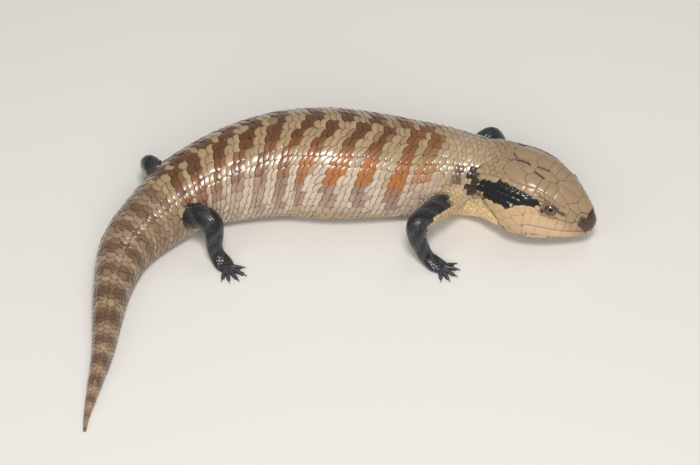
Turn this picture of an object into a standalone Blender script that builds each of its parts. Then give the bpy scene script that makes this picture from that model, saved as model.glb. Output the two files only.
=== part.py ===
"""Blue-tongued skink at rest: a still, life-size model in one shared pose.

Lengths are in metres, and +X points to the head end. The floor is z = 0.
The body is one loft along a spine, parted into named lengths by thin cuts.
"""
import math

import bmesh
import bpy
from mathutils import Vector

MM = 0.001

# Survey points are in millimetres; the part's own origin lies here among them
ORIGIN_X = -1.35
ORIGIN_Y = -34.15

# Driving sizes of the solids
GAP = 0.3
AROUND_BODY = 30
AROUND_LEG = 12
AROUND_TOE = 8
BODY_RING_STEP = 7.2
HEAD_RING_STEP = 3.5
LEG_RING_STEP = 3.0
BEND_CLEARANCE = 6.4
WRIST_CLEARANCE = 1.6
WIDEST_HEAD = 0.27
WIDEST_BODY = 0.345
UNDERSIDE_DIP = 0.038
BACK_SQUARENESS = 2.15
BELLY_SQUARENESS = 2.7

# Head: its tip, its heading in degrees from +X, and its roll away from the near side
HEAD_TIP = (138.8, -6.5)
HEAD_HEADING = -31.0
HEAD_ROLL = -2.0

# Head stations: distance behind the snout tip, half width, top, underside,
# squareness of the crown, and how much narrower the crown is than the jaws
HEAD_STATIONS = (
    (0.0, 2.8, 18.0, 11.6, 2.2, 0.10),
    (1.2, 4.8, 20.4, 9.6, 2.3, 0.12),
    (3.2, 6.8, 23.0, 7.8, 2.5, 0.16),
    (7.0, 10.2, 26.8, 6.2, 2.9, 0.20),
    (13.0, 15.3, 31.4, 5.3, 3.2, 0.25),
    (20.0, 20.6, 35.2, 4.8, 3.4, 0.29),
    (27.0, 24.6, 37.6, 4.6, 3.3, 0.29),
    (35.0, 27.6, 39.2, 4.4, 3.0, 0.24),
    (44.0, 28.6, 40.0, 4.2, 2.6, 0.16),
    (53.0, 27.4, 39.8, 3.6, 2.4, 0.08),
    (60.0, 25.8, 39.2, 2.4, 2.3, 0.03),
)

# Body stations from the neck to the tail tip: x, y, half width and height
BODY_STATIONS = (
    (72.0, 30.2, 24.4, 38.2),
    (59.5, 33.2, 26.4, 39.0),
    (45.7, 35.3, 28.6, 40.6),
    (19.5, 36.3, 32.2, 45.0),
    (-8.5, 36.9, 34.6, 48.4),
    (-36.8, 37.7, 33.1, 46.3),
    (-65.6, 31.7, 29.6, 41.5),
    (-91.4, 19.9, 24.8, 35.1),
    (-112.7, -0.8, 19.5, 29.3),
    (-126.5, -21.3, 15.5, 24.4),
    (-132.0, -45.7, 11.0, 17.9),
    (-133.4, -68.2, 8.4, 13.9),
    (-134.2, -90.2, 6.3, 10.6),
    (-137.0, -111.2, 4.1, 7.0),
    (-139.4, -129.4, 1.9, 3.4),
    (-139.9, -139.2, 0.9, 1.7),
)

# Where the thin cuts part the body: names in order, and each cut's distance
# behind the snout tip, measured along the spine
BODY_PARTS = (
    ("head", 63.0),
    ("neck", 85.0),
    ("trunk_front", 132.0),
    ("trunk_middle", 190.0),
    ("trunk_rear", 262.0),
    ("tail_base", 302.0),
    ("tail_front", 342.0),
    ("tail_middle", 384.0),
    ("tail_end", None),
)

# Mouth line: its height at the snout, its climb per millimetre, and the jaw's length
MOUTH_HEIGHT = 10.9
MOUTH_CLIMB = 0.2
JAW_LENGTH = 55.0

# Eyes: distance behind the snout tip, distance from the midline, height and radius
EYE_BACK = 23.2
EYE_SIDE = 12.6
EYE_HEIGHT = 26.8
EYE_RADIUS = 4.4

# Limbs: points from inside the body to the root of the toes, each with its half
# width and half height; then the two joints' places in that list, the heading of
# the foot in degrees, and the toes' angles from that heading and their lengths
FRONT_TOES = ((-58, 4.6), (-28, 6.4), (-3, 7.2), (22, 6.6), (50, 4.8))
HIND_TOES = ((-52, 4.8), (-26, 6.6), (-2, 8.0), (21, 8.4), (50, 5.2))
LIMBS = {
    "fore_right": {
        "points": (
            (62.0, 14.0, 18.0, 8.2, 8.2),
            (53.0, 4.0, 19.5, 7.4, 7.0),
            (44.0, -6.5, 22.5, 6.6, 6.2),
            (37.8, -14.0, 22.5, 6.2, 5.9),
            (37.8, -17.6, 16.5, 5.3, 5.2),
            (40.6, -20.0, 9.5, 4.6, 4.3),
            (43.6, -22.4, 4.6, 4.5, 3.5),
            (48.4, -25.6, 2.3, 5.2, 2.6),
            (52.4, -28.0, 1.9, 4.4, 1.9),
        ),
        "elbow": 3.0,
        "wrist": 5.45,
        "heading": -32.0,
        "toes": FRONT_TOES,
    },
    "fore_left": {
        "points": (
            (64.0, 44.0, 13.5, 7.8, 7.8),
            (71.0, 50.0, 13.4, 7.0, 6.8),
            (77.5, 56.0, 16.0, 6.2, 6.0),
            (83.2, 59.6, 17.6, 5.7, 5.5),
            (87.0, 60.2, 12.6, 5.1, 5.0),
            (90.0, 59.0, 7.0, 4.6, 4.2),
            (93.2, 58.2, 3.9, 4.6, 3.3),
            (98.0, 57.0, 2.2, 5.2, 2.5),
            (102.2, 56.0, 1.9, 4.4, 1.9),
        ),
        "elbow": 3.0,
        "wrist": 5.4,
        "heading": -13.0,
        "toes": tuple((-turn, length) for turn, length in FRONT_TOES),
    },
    "hind_right": {
        "points": (
            (-97.0, 6.0, 13.0, 8.4, 8.4),
            (-90.5, -2.0, 17.0, 7.6, 7.6),
            (-83.5, -7.6, 22.4, 6.6, 6.6),
            (-77.6, -11.6, 21.8, 6.0, 6.0),
            (-76.4, -15.2, 15.8, 5.2, 5.2),
            (-76.6, -17.8, 9.6, 4.6, 4.5),
            (-75.2, -20.4, 5.0, 4.5, 3.6),
            (-71.8, -24.6, 2.3, 5.3, 2.6),
            (-68.8, -28.4, 1.9, 4.5, 1.9),
        ),
        "elbow": 3.0,
        "wrist": 5.5,
        "heading": -50.0,
        "toes": HIND_TOES,
    },
    "hind_left": {
        "points": (
            (-102.0, 17.0, 12.0, 7.8, 7.8),
            (-108.5, 24.6, 16.2, 7.0, 7.0),
            (-112.8, 31.2, 19.2, 6.0, 6.0),
            (-116.2, 36.8, 18.4, 5.3, 5.3),
            (-117.0, 39.6, 13.0, 4.9, 4.9),
            (-116.0, 41.6, 8.0, 4.5, 4.3),
            (-113.4, 43.4, 4.2, 4.5, 3.4),
            (-109.0, 46.0, 2.2, 5.2, 2.5),
            (-104.8, 48.4, 1.9, 4.4, 1.9),
        ),
        "elbow": 3.0,
        "wrist": 5.5,
        "heading": 30.0,
        "toes": tuple((-turn, length) for turn, length in HIND_TOES),
    },
}
TOE_RADIUS = 1.45
TOE_TIP_RADIUS = 1.0
TOE_ROOT_BACK = 4.0
CLAW_LENGTH = 2.6
CLAW_RADIUS = 0.62
CLAW_TIP_RADIUS = 0.3

# Colours and roughness of the plain solids
TAN = ((0.46, 0.34, 0.22), 0.5)
BROWN = ((0.30, 0.15, 0.07), 0.45)
SLATE = ((0.03, 0.03, 0.035), 0.4)
EYE_BROWN = ((0.10, 0.05, 0.02), 0.1)
HORN = ((0.08, 0.06, 0.05), 0.35)


def clear_scene():
    """Remove every object that the opened file holds."""
    for thing in list(bpy.data.objects):
        bpy.data.objects.remove(thing, do_unlink=True)


def survey_point(x, y, z):
    """A survey point in millimetres as metres about the part's origin."""
    return Vector(((x - ORIGIN_X) * MM, (y - ORIGIN_Y) * MM, z * MM))


def curve_value(rows, place):
    """Smooth value of a table of rows at a fractional row number."""
    last = len(rows) - 1
    index = max(0, min(int(place), last - 1))
    part = place - index
    values = []
    for column, p1 in enumerate(rows[index]):
        p2 = rows[index + 1][column]
        p0 = rows[index - 1][column] if index > 0 else 2 * p1 - p2
        p3 = rows[index + 2][column] if index < last - 1 else 2 * p2 - p1
        cubic = -p0 + 3 * p1 - 3 * p2 + p3
        square = 2 * p0 - 5 * p1 + 4 * p2 - p3
        slope = p2 - p0
        values.append(p1 + 0.5 * part * (slope + part * (square + part * cubic)))
    return values


def body_rows():
    """All stations: x, y, half width, top, underside, squareness, taper, level, roll."""
    heading = math.radians(HEAD_HEADING)
    rows = []
    for back, half, top, under, square, taper in HEAD_STATIONS:
        x = HEAD_TIP[0] - math.cos(heading) * back
        y = HEAD_TIP[1] - math.sin(heading) * back
        rows.append((x, y, half, top, under, square, taper, WIDEST_HEAD, HEAD_ROLL))
    for x, y, half, height in BODY_STATIONS:
        under = -UNDERSIDE_DIP * height
        rows.append((x, y, half, height, under, BACK_SQUARENESS, 0.0, WIDEST_BODY, 0.0))
    return rows


def measured_places(rows, columns, step=0.02):
    """Pairs of distance and place along a table of rows, for the given columns."""
    count = round((len(rows) - 1) / step)
    pairs = [(0.0, 0.0)]
    before = curve_value(rows, 0.0)
    for number in range(1, count + 1):
        place = number * (len(rows) - 1) / count
        here = curve_value(rows, place)
        length = math.dist([before[c] for c in columns], [here[c] for c in columns])
        pairs.append((pairs[-1][0] + length, place))
        before = here
    return pairs


def place_at(pairs, distance):
    """The place along the curve that lies at a distance from its start."""
    for (low, start), (high, end) in zip(pairs, pairs[1:]):
        if distance <= high:
            return start + (end - start) * (distance - low) / (high - low)
    return pairs[-1][1]


def forward_way(rows, place):
    """Unit vector towards the snout, level, at a place on the spine."""
    small = 0.01
    here = curve_value(rows, max(place - small, 0.0))
    back = curve_value(rows, min(place + small, len(rows) - 1.0))
    way = Vector((here[0] - back[0], here[1] - back[1], 0.0))
    return way.normalized()


def signed_power(value, exponent):
    """A power of a number's size that keeps its sign."""
    return math.copysign(abs(value) ** exponent, value)


def body_ring(rows, place, swell=0.0, shift=0.0):
    """Points of one cross-section, from the top of the back round by the left side."""
    x, y, half, top, under, square, taper, level, roll = curve_value(rows, place)
    forward = forward_way(rows, place)
    left = Vector((-forward.y, forward.x, 0.0))
    middle = under + level * (top - under)
    centre = survey_point(x, y, middle) + forward * shift * MM
    tilt = math.radians(roll)
    points = []
    for number in range(AROUND_BODY):
        turn = 2 * math.pi * number / AROUND_BODY
        upper = math.cos(turn) > 0
        exponent = 2.0 / (square if upper else BELLY_SQUARENESS)
        side = (half + swell) * signed_power(math.sin(turn), exponent)
        rise = abs(math.cos(turn)) ** exponent
        if upper:
            side *= 1.0 - taper * rise * rise * (3.0 - 2.0 * rise)
            lift = (top - middle + swell) * rise
        else:
            lift = -(middle - under + swell) * rise
        across = side * math.cos(tilt) - lift * math.sin(tilt)
        height = side * math.sin(tilt) + lift * math.cos(tilt)
        point = centre + left * across * MM + Vector((0.0, 0.0, height * MM))
        if swell == 0.0:
            point.z = max(point.z, 0.0)
        points.append(point)
    return points


def loft(name, rings, start=None, end=None):
    """One closed object from rings of points; start and end are optional tips."""
    mesh = bpy.data.meshes.new(name)
    shape = bmesh.new()
    layers = [[shape.verts.new(point) for point in ring] for ring in rings]
    count = len(layers[0])
    for first, second in zip(layers, layers[1:]):
        for k in range(count):
            after = (k + 1) % count
            shape.faces.new((first[k], first[after], second[after], second[k]))
    for layer, tip in ((layers[0], start), (layers[-1], end)):
        if tip is None:
            shape.faces.new(layer)
            continue
        point = shape.verts.new(tip)
        for k in range(count):
            shape.faces.new((layer[k], layer[(k + 1) % count], point))
    bmesh.ops.recalc_face_normals(shape, faces=shape.faces)
    shape.to_mesh(mesh)
    shape.free()
    thing = bpy.data.objects.new(name, mesh)
    bpy.context.scene.collection.objects.link(thing)
    return thing


def combine(target, other, operation):
    """Cut or join the target with another object, which is then removed."""
    change = target.modifiers.new("change", "BOOLEAN")
    change.operation = operation
    change.solver = "EXACT"
    change.object = other
    bpy.context.view_layer.update()
    graph = bpy.context.evaluated_depsgraph_get()
    result = bpy.data.meshes.new_from_object(target.evaluated_get(graph))
    target.modifiers.clear()
    target.data = result
    bpy.data.objects.remove(other, do_unlink=True)


def keep_largest_piece(target):
    """Keep the piece of a mesh that has the most points, and delete the rest."""
    shape = bmesh.new()
    shape.from_mesh(target.data)
    waiting = set(shape.verts)
    pieces = []
    while waiting:
        stack = [waiting.pop()]
        piece = set(stack)
        while stack:
            for edge in stack.pop().link_edges:
                for vert in edge.verts:
                    if vert in waiting:
                        waiting.remove(vert)
                        piece.add(vert)
                        stack.append(vert)
        pieces.append(piece)
    pieces.sort(key=len)
    for piece in pieces[:-1]:
        bmesh.ops.delete(shape, geom=list(piece), context="VERTS")
    shape.to_mesh(target.data)
    shape.free()


def tidy(target, colour_and_roughness):
    """Clean the mesh, shade it smooth and give it a material of its own."""
    shape = bmesh.new()
    shape.from_mesh(target.data)
    bmesh.ops.remove_doubles(shape, verts=shape.verts, dist=0.02 * MM)
    bmesh.ops.dissolve_degenerate(shape, edges=shape.edges, dist=0.02 * MM)
    bmesh.ops.recalc_face_normals(shape, faces=shape.faces)
    shape.to_mesh(target.data)
    shape.free()
    colour, roughness = colour_and_roughness
    material = bpy.data.materials.new(target.name)
    material.use_nodes = True
    shader = material.node_tree.nodes["Principled BSDF"]
    shader.inputs["Base Color"].default_value = (*colour, 1.0)
    shader.inputs["Roughness"].default_value = roughness
    target.data.materials.clear()
    target.data.materials.append(material)
    target.data.shade_smooth()
    target.data.set_sharp_from_angle(angle=math.radians(40))


def body_length(rows, pairs, name, start, end, swell=0.0):
    """A closed length of the body between two distances behind the snout tip."""
    step = HEAD_RING_STEP if name in ("head", "neck") else BODY_RING_STEP
    total = pairs[-1][0]
    stop = total if end is None else end
    count = max(2, round((stop - start) / step))
    rings = []
    for number in range(count + 1):
        distance = start + (stop - start) * number / count
        shift = 0.0
        if number == 0 and start > 0.0:
            shift = -0.5 * GAP
        if number == count and end is not None:
            shift = 0.5 * GAP
        rings.append(body_ring(rows, place_at(pairs, distance), swell, shift))
    nose = tail = None
    if start == 0.0:
        lead = forward_way(rows, 0.0) * 0.7 * MM
        rings.insert(1, body_ring(rows, place_at(pairs, 0.55), swell))
        rings.insert(2, body_ring(rows, place_at(pairs, 1.6), swell))
        nose = sum(rings[0], Vector()) / len(rings[0]) + lead
    if end is None:
        lead = forward_way(rows, len(rows) - 1.0) * -0.8 * MM
        tail = sum(rings[-1], Vector()) / len(rings[-1]) + lead
    return loft(name, rings, nose, tail)


def head_point(back, side, height):
    """A point by its distance behind the snout, its side and its height."""
    heading = math.radians(HEAD_HEADING)
    x = HEAD_TIP[0] - math.cos(heading) * back - math.sin(heading) * side
    y = HEAD_TIP[1] - math.sin(heading) * back + math.cos(heading) * side
    return survey_point(x, y, height)


def jaw_wedge(grow):
    """The space below the mouth line and ahead of the jaw's hinge."""
    front = -6.0
    half = 40.0
    floor = -6.0
    rear = JAW_LENGTH + grow
    rings = []
    for side in (-half, half):
        rings.append([
            head_point(front, side, floor),
            head_point(front, side, MOUTH_HEIGHT + MOUTH_CLIMB * front + grow),
            head_point(rear, side, MOUTH_HEIGHT + MOUTH_CLIMB * rear + grow),
            head_point(rear, side, floor),
        ])
    return loft("jaw_wedge", rings)


def ball(name, centre, radius):
    """A round ball."""
    mesh = bpy.data.meshes.new(name)
    shape = bmesh.new()
    bmesh.ops.create_uvsphere(shape, u_segments=12, v_segments=8, radius=radius * MM)
    bmesh.ops.translate(shape, verts=shape.verts, vec=centre)
    shape.to_mesh(mesh)
    shape.free()
    thing = bpy.data.objects.new(name, mesh)
    bpy.context.scene.collection.objects.link(thing)
    return thing


def build_head(rows, pairs, end):
    """The skull with its two eye sockets, the lower jaw below the mouth, the eyes."""
    head = body_length(rows, pairs, "head", 0.0, end)
    jaw = body_length(rows, pairs, "lower_jaw", 0.0, end)
    combine(head, jaw_wedge(0.5 * GAP), "DIFFERENCE")
    combine(jaw, jaw_wedge(-0.5 * GAP), "INTERSECT")
    for name, side in (("eye_right", -EYE_SIDE), ("eye_left", EYE_SIDE)):
        lean = math.tan(math.radians(HEAD_ROLL)) * side
        centre = head_point(EYE_BACK, side, EYE_HEIGHT + lean)
        combine(head, ball("socket", centre, EYE_RADIUS + GAP), "DIFFERENCE")
        tidy(ball(name, centre, EYE_RADIUS), EYE_BROWN)
    tidy(head, TAN)
    tidy(jaw, TAN)


def build_body():
    """Head, neck, trunk and tail."""
    rows = body_rows()
    pairs = measured_places(rows, (0, 1))
    start = 0.0
    for name, end in BODY_PARTS:
        if name == "head":
            build_head(rows, pairs, end)
        else:
            tidy(body_length(rows, pairs, name, start, end), BROWN)
        start = end
    return rows, pairs


def limb_frames(rows, side):
    """Unit ways along a limb and across it, carried smoothly back from the foot."""
    pairs = measured_places(rows, (0, 1, 2))
    count = round(pairs[-1][0] / LEG_RING_STEP)
    places = [place_at(pairs, pairs[-1][0] * n / count) for n in range(count + 1)]
    frames = []
    before = None
    across = side
    for place in reversed(places):
        small = 0.01
        near = curve_value(rows, max(place - small, 0.0))
        far = curve_value(rows, min(place + small, len(rows) - 1.0))
        way = Vector(far[:3]) - Vector(near[:3])
        way.normalize()
        if before is not None:
            across = before.rotation_difference(way) @ across
        across = (across - way * across.dot(way)).normalized()
        frames.append((place, way, across))
        before = way
    frames.reverse()
    return frames


def way_along(rows, first, second):
    """Distance in millimetres between two places along a limb."""
    low = Vector(curve_value(rows, first)[:3])
    high = Vector(curve_value(rows, second)[:3])
    return (high - low).length


def limb_ring(rows, frames, place, shift=0.0):
    """One oval ring of a limb at a place along it."""
    nearest = min(frames, key=lambda frame: abs(frame[0] - place))
    x, y, z, wide, high = curve_value(rows, place)
    way = nearest[1]
    across = nearest[2]
    rise = way.cross(across)
    centre = survey_point(x, y, z) + way * shift * MM
    points = []
    for number in range(AROUND_LEG):
        turn = 2 * math.pi * number / AROUND_LEG
        offset = across * wide * math.cos(turn) + rise * high * math.sin(turn)
        points.append(centre + offset * MM)
    return points


def limb_length(name, rows, frames, start, end, clear_start, clear_end):
    """A closed length of a limb between two places, with no ring close to a bend."""
    places = [start]
    for place, _, _ in frames:
        inside = start < place < end
        if inside and way_along(rows, start, place) > clear_start:
            if way_along(rows, place, end) > clear_end:
                places.append(place)
    places.append(end)
    last = len(rows) - 1.0
    rings = []
    for place in places:
        shift = 0.0
        if place == start and start > 0.0:
            shift = 0.5 * GAP
        if place == end and end < last:
            shift = -0.5 * GAP
        rings.append(limb_ring(rows, frames, place, shift))
    tip = None
    if end == last:
        tip = sum(rings[-1], Vector()) / AROUND_LEG + frames[-1][1] * MM
    return loft(name, rings, None, tip)


def round_rod(name, points, radii, around):
    """A tapered rod through points in metres, with a rounded far end."""
    rings = []
    for number, (point, radius) in enumerate(zip(points, radii)):
        low = points[max(number - 1, 0)]
        high = points[min(number + 1, len(points) - 1)]
        way = (high - low).normalized()
        across = way.cross(Vector((0.0, 0.0, 1.0))).normalized()
        rise = across.cross(way)
        ring = []
        for k in range(around):
            turn = 2 * math.pi * k / around
            offset = across * math.cos(turn) + rise * math.sin(turn)
            ring.append(point + offset * radius * MM)
        rings.append(ring)
    way = (points[-1] - points[-2]).normalized()
    tip = points[-1] + way * 0.6 * radii[-1] * MM
    return loft(name, rings, None, tip)


def floor_block():
    """A block under the floor, which cuts flat soles."""
    rings = []
    for height in (-20.0, 0.0):
        corners = ((-250.0, -250.0), (250.0, -250.0), (250.0, 250.0), (-250.0, 250.0))
        rings.append([Vector((x * MM, y * MM, height * MM)) for x, y in corners])
    return loft("floor_block", rings)


def add_toes(name, foot, limb):
    """Toes joined to the foot, and a claw of its own before each toe."""
    root = limb["points"][-1]
    for number, (turn, length) in enumerate(limb["toes"], 1):
        angle = math.radians(limb["heading"] + turn)
        way = Vector((math.cos(angle), math.sin(angle), 0.0))
        heading = math.radians(limb["heading"])
        sideways = Vector((-math.sin(heading), math.cos(heading), 0.0))
        spread = sideways * 3.0 * math.sin(math.radians(turn))
        palm = survey_point(root[0], root[1], 0.0) + spread * MM
        start = palm - way * TOE_ROOT_BACK * MM
        reach = (0.0, 0.45, 0.8, 1.0)
        heights = (1.5, 1.75, 1.25, 0.85)
        radii = (TOE_RADIUS, TOE_RADIUS, 0.5 * (TOE_RADIUS + TOE_TIP_RADIUS), TOE_TIP_RADIUS)
        points = []
        for share, height in zip(reach, heights):
            along = share * (TOE_ROOT_BACK + length)
            points.append(start + way * along * MM + Vector((0.0, 0.0, height * MM)))
        combine(foot, round_rod("toe", points, radii, AROUND_TOE), "UNION")
        claw_start = points[-1] + way * (0.6 * TOE_TIP_RADIUS + GAP) * MM
        claw = []
        for share, rise in ((0.0, 0.15), (0.4, 0.3), (0.75, 0.1), (1.0, -0.2)):
            offset = way * share * CLAW_LENGTH + Vector((0.0, 0.0, rise))
            claw.append(claw_start + offset * MM)
        sizes = [CLAW_RADIUS + (CLAW_TIP_RADIUS - CLAW_RADIUS) * n / 3 for n in range(4)]
        tidy(round_rod(f"claw_{name}_{number}", claw, sizes, 6), HORN)


def build_limb(name, limb, rows, pairs):
    """Upper limb cut to the body's side, lower limb, and the foot with its toes."""
    points = limb["points"]
    heading = math.radians(limb["heading"])
    side = Vector((-math.sin(heading), math.cos(heading), 0.0))
    frames = limb_frames(points, side)
    last = len(points) - 1.0
    elbow = limb["elbow"]
    wrist = limb["wrist"]
    at_bend = BEND_CLEARANCE
    at_wrist = WRIST_CLEARANCE
    upper = limb_length(f"{name}_upper", points, frames, 0.0, elbow, 1.0, at_bend)
    trunk = body_length(rows, pairs, "trunk_cutter", 50.0, 330.0, GAP)
    combine(upper, trunk, "DIFFERENCE")
    keep_largest_piece(upper)
    tidy(upper, SLATE)
    lower = limb_length(f"{name}_lower", points, frames, elbow, wrist, at_bend, at_wrist)
    tidy(lower, SLATE)
    foot = limb_length(f"{name}_foot", points, frames, wrist, last, at_wrist, 0.5)
    add_toes(name, foot, limb)
    combine(foot, floor_block(), "DIFFERENCE")
    keep_largest_piece(foot)
    tidy(foot, SLATE)


def main():
    """Build every named solid of the animal."""
    clear_scene()
    rows, pairs = build_body()
    for name, limb in LIMBS.items():
        build_limb(name, limb, rows, pairs)


main()
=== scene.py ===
"""The looks of a blue-tongued skink at rest: skin, scales, eyes, claws, floor and light.

Shapes are worked out in millimetres in the part's own frame, and become metres when
a mesh is made. A place on the body is its distance behind the snout along the spine
and its arc from the top of the back; the right side, near the camera, is negative.
"""
import math

import bpy
import numpy as np
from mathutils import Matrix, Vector
from mathutils.bvhtree import BVHTree
from mathutils.kdtree import KDTree


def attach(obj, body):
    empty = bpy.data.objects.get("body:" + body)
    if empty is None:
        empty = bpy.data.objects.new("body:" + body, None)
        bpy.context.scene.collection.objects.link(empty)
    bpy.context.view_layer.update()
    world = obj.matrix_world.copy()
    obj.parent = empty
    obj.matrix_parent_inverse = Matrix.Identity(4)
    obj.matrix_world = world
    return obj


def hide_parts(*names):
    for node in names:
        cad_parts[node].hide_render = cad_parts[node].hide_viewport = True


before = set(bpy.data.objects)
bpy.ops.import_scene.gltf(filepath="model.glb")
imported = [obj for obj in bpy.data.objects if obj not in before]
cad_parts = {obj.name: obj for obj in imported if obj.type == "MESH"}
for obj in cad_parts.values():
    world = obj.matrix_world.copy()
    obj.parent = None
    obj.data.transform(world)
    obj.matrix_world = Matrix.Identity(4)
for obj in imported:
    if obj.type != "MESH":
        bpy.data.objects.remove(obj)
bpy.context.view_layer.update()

MM = 0.001

# Survey points are in millimetres; the part's own origin lies here among them
ORIGIN_X = -1.35
ORIGIN_Y = -34.15

# The body's form, with the same driving sizes as the solids
WIDEST_HEAD = 0.27
WIDEST_BODY = 0.345
UNDERSIDE_DIP = 0.038
BACK_SQUARENESS = 2.15
BELLY_SQUARENESS = 2.7
HEAD_TIP = (138.8, -6.5)
HEAD_HEADING = -31.0
HEAD_ROLL = -2.0

# Head stations: distance behind the snout tip, half width, top, underside,
# squareness of the crown, and how much narrower the crown is than the jaws
HEAD_STATIONS = (
    (0.0, 2.8, 18.0, 11.6, 2.2, 0.10),
    (1.2, 4.8, 20.4, 9.6, 2.3, 0.12),
    (3.2, 6.8, 23.0, 7.8, 2.5, 0.16),
    (7.0, 10.2, 26.8, 6.2, 2.9, 0.20),
    (13.0, 15.3, 31.4, 5.3, 3.2, 0.25),
    (20.0, 20.6, 35.2, 4.8, 3.4, 0.29),
    (27.0, 24.6, 37.6, 4.6, 3.3, 0.29),
    (35.0, 27.6, 39.2, 4.4, 3.0, 0.24),
    (44.0, 28.6, 40.0, 4.2, 2.6, 0.16),
    (53.0, 27.4, 39.8, 3.6, 2.4, 0.08),
    (60.0, 25.8, 39.2, 2.4, 2.3, 0.03),
)

# Body stations from the neck to the tail tip: x, y, half width and height
BODY_STATIONS = (
    (72.0, 30.2, 24.4, 38.2),
    (59.5, 33.2, 26.4, 39.0),
    (45.7, 35.3, 28.6, 40.6),
    (19.5, 36.3, 32.2, 45.0),
    (-8.5, 36.9, 34.6, 48.4),
    (-36.8, 37.7, 33.1, 46.3),
    (-65.6, 31.7, 29.6, 41.5),
    (-91.4, 19.9, 24.8, 35.1),
    (-112.7, -0.8, 19.5, 29.3),
    (-126.5, -21.3, 15.5, 24.4),
    (-132.0, -45.7, 11.0, 17.9),
    (-133.4, -68.2, 8.4, 13.9),
    (-134.2, -90.2, 6.3, 10.6),
    (-137.0, -111.2, 4.1, 7.0),
    (-139.4, -129.4, 1.9, 3.4),
    (-139.9, -139.2, 0.9, 1.7),
)
BODY_STEP = 0.5
NECK_BEND = (49.0, 66.0)
BODY_COLUMNS = 320

# Limbs: points from inside the body to the root of the toes, each with its half
# width and half height; then the foot's heading and the toes' angles and lengths
FRONT_TOES = ((-58, 4.6), (-28, 6.4), (-3, 7.2), (22, 6.6), (50, 4.8))
HIND_TOES = ((-52, 4.8), (-26, 6.6), (-2, 8.0), (21, 8.4), (50, 5.2))
LIMBS = {
    "fore_right": {
        "points": (
            (62.0, 14.0, 18.0, 8.2, 8.2),
            (53.0, 4.0, 19.5, 7.4, 7.0),
            (44.0, -6.5, 22.5, 6.6, 6.2),
            (37.8, -14.0, 22.5, 6.2, 5.9),
            (37.8, -17.6, 16.5, 5.3, 5.2),
            (40.6, -20.0, 9.5, 4.6, 4.3),
            (43.6, -22.4, 4.6, 4.5, 3.5),
            (48.4, -25.6, 2.3, 5.2, 2.6),
            (52.4, -28.0, 1.9, 4.4, 1.9),
        ),
        "heading": -32.0,
        "toes": FRONT_TOES,
    },
    "fore_left": {
        "points": (
            (64.0, 44.0, 13.5, 7.8, 7.8),
            (71.0, 50.0, 13.4, 7.0, 6.8),
            (77.5, 56.0, 16.0, 6.2, 6.0),
            (83.2, 59.6, 17.6, 5.7, 5.5),
            (87.0, 60.2, 12.6, 5.1, 5.0),
            (90.0, 59.0, 7.0, 4.6, 4.2),
            (93.2, 58.2, 3.9, 4.6, 3.3),
            (98.0, 57.0, 2.2, 5.2, 2.5),
            (102.2, 56.0, 1.9, 4.4, 1.9),
        ),
        "heading": -13.0,
        "toes": tuple((-turn, length) for turn, length in FRONT_TOES),
    },
    "hind_right": {
        "points": (
            (-97.0, 6.0, 13.0, 8.4, 8.4),
            (-90.5, -2.0, 17.0, 7.6, 7.6),
            (-83.5, -7.6, 22.4, 6.6, 6.6),
            (-77.6, -11.6, 21.8, 6.0, 6.0),
            (-76.4, -15.2, 15.8, 5.2, 5.2),
            (-76.6, -17.8, 9.6, 4.6, 4.5),
            (-75.2, -20.4, 5.0, 4.5, 3.6),
            (-71.8, -24.6, 2.3, 5.3, 2.6),
            (-68.8, -28.4, 1.9, 4.5, 1.9),
        ),
        "heading": -50.0,
        "toes": HIND_TOES,
    },
    "hind_left": {
        "points": (
            (-102.0, 17.0, 12.0, 7.8, 7.8),
            (-108.5, 24.6, 16.2, 7.0, 7.0),
            (-112.8, 31.2, 19.2, 6.0, 6.0),
            (-116.2, 36.8, 18.4, 5.3, 5.3),
            (-117.0, 39.6, 13.0, 4.9, 4.9),
            (-116.0, 41.6, 8.0, 4.5, 4.3),
            (-113.4, 43.4, 4.2, 4.5, 3.4),
            (-109.0, 46.0, 2.2, 5.2, 2.5),
            (-104.8, 48.4, 1.9, 4.4, 1.9),
        ),
        "heading": 30.0,
        "toes": tuple((-turn, length) for turn, length in HIND_TOES),
    },
}
TOE_RADIUS = 1.45
TOE_TIP_RADIUS = 1.0
TOE_ROOT_BACK = 4.0
LIMB_STEP = 0.4
LIMB_COLUMNS = 72
TOE_STEP = 0.25
TOE_COLUMNS = 32

# Eyes: distance behind the snout tip, distance from the midline, height and radius
EYE_BACK = 23.2
EYE_SIDE = 12.6
EYE_HEIGHT = 26.8
EYE_RADIUS = 4.4

# How far the skin lies under the solids' surface, where the coat of scales goes
BODY_DEPTH = 0.8
HEAD_DEPTH = 0.6
LIMB_DEPTH = 0.45
TOE_DEPTH = 0.3
SKIN_VOXEL = 0.87

SEED = 11


def curve_values(rows, places):
    """Smooth values of a table of rows at fractional row numbers."""
    rows = np.asarray(rows, float)
    last = len(rows) - 1
    index = np.clip(places.astype(int), 0, last - 1)
    part = (places - index)[:, None]
    padded = np.vstack((2 * rows[0] - rows[1], rows, 2 * rows[-1] - rows[-2]))
    p0, p1, p2, p3 = (padded[index + k] for k in range(4))
    cubic = -p0 + 3 * p1 - 3 * p2 + p3
    square = 2 * p0 - 5 * p1 + 4 * p2 - p3
    return p1 + 0.5 * part * (p2 - p0 + part * (square + part * cubic))


def even_places(rows, columns, step):
    """Places along a table of rows, a step apart by distance in the given columns."""
    fine = np.linspace(0.0, len(rows) - 1.0, 50 * (len(rows) - 1) + 1)
    points = curve_values(rows, fine)[:, columns]
    lengths = np.linalg.norm(np.diff(points, axis=0), axis=1)
    distance = np.concatenate(([0.0], np.cumsum(lengths)))
    count = int(distance[-1] / step)
    return np.interp(np.arange(count + 1) * step, distance, fine)


def unit(vectors):
    """Vectors at length one."""
    return vectors / np.maximum(np.linalg.norm(vectors, axis=-1, keepdims=True), 1e-9)


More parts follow.
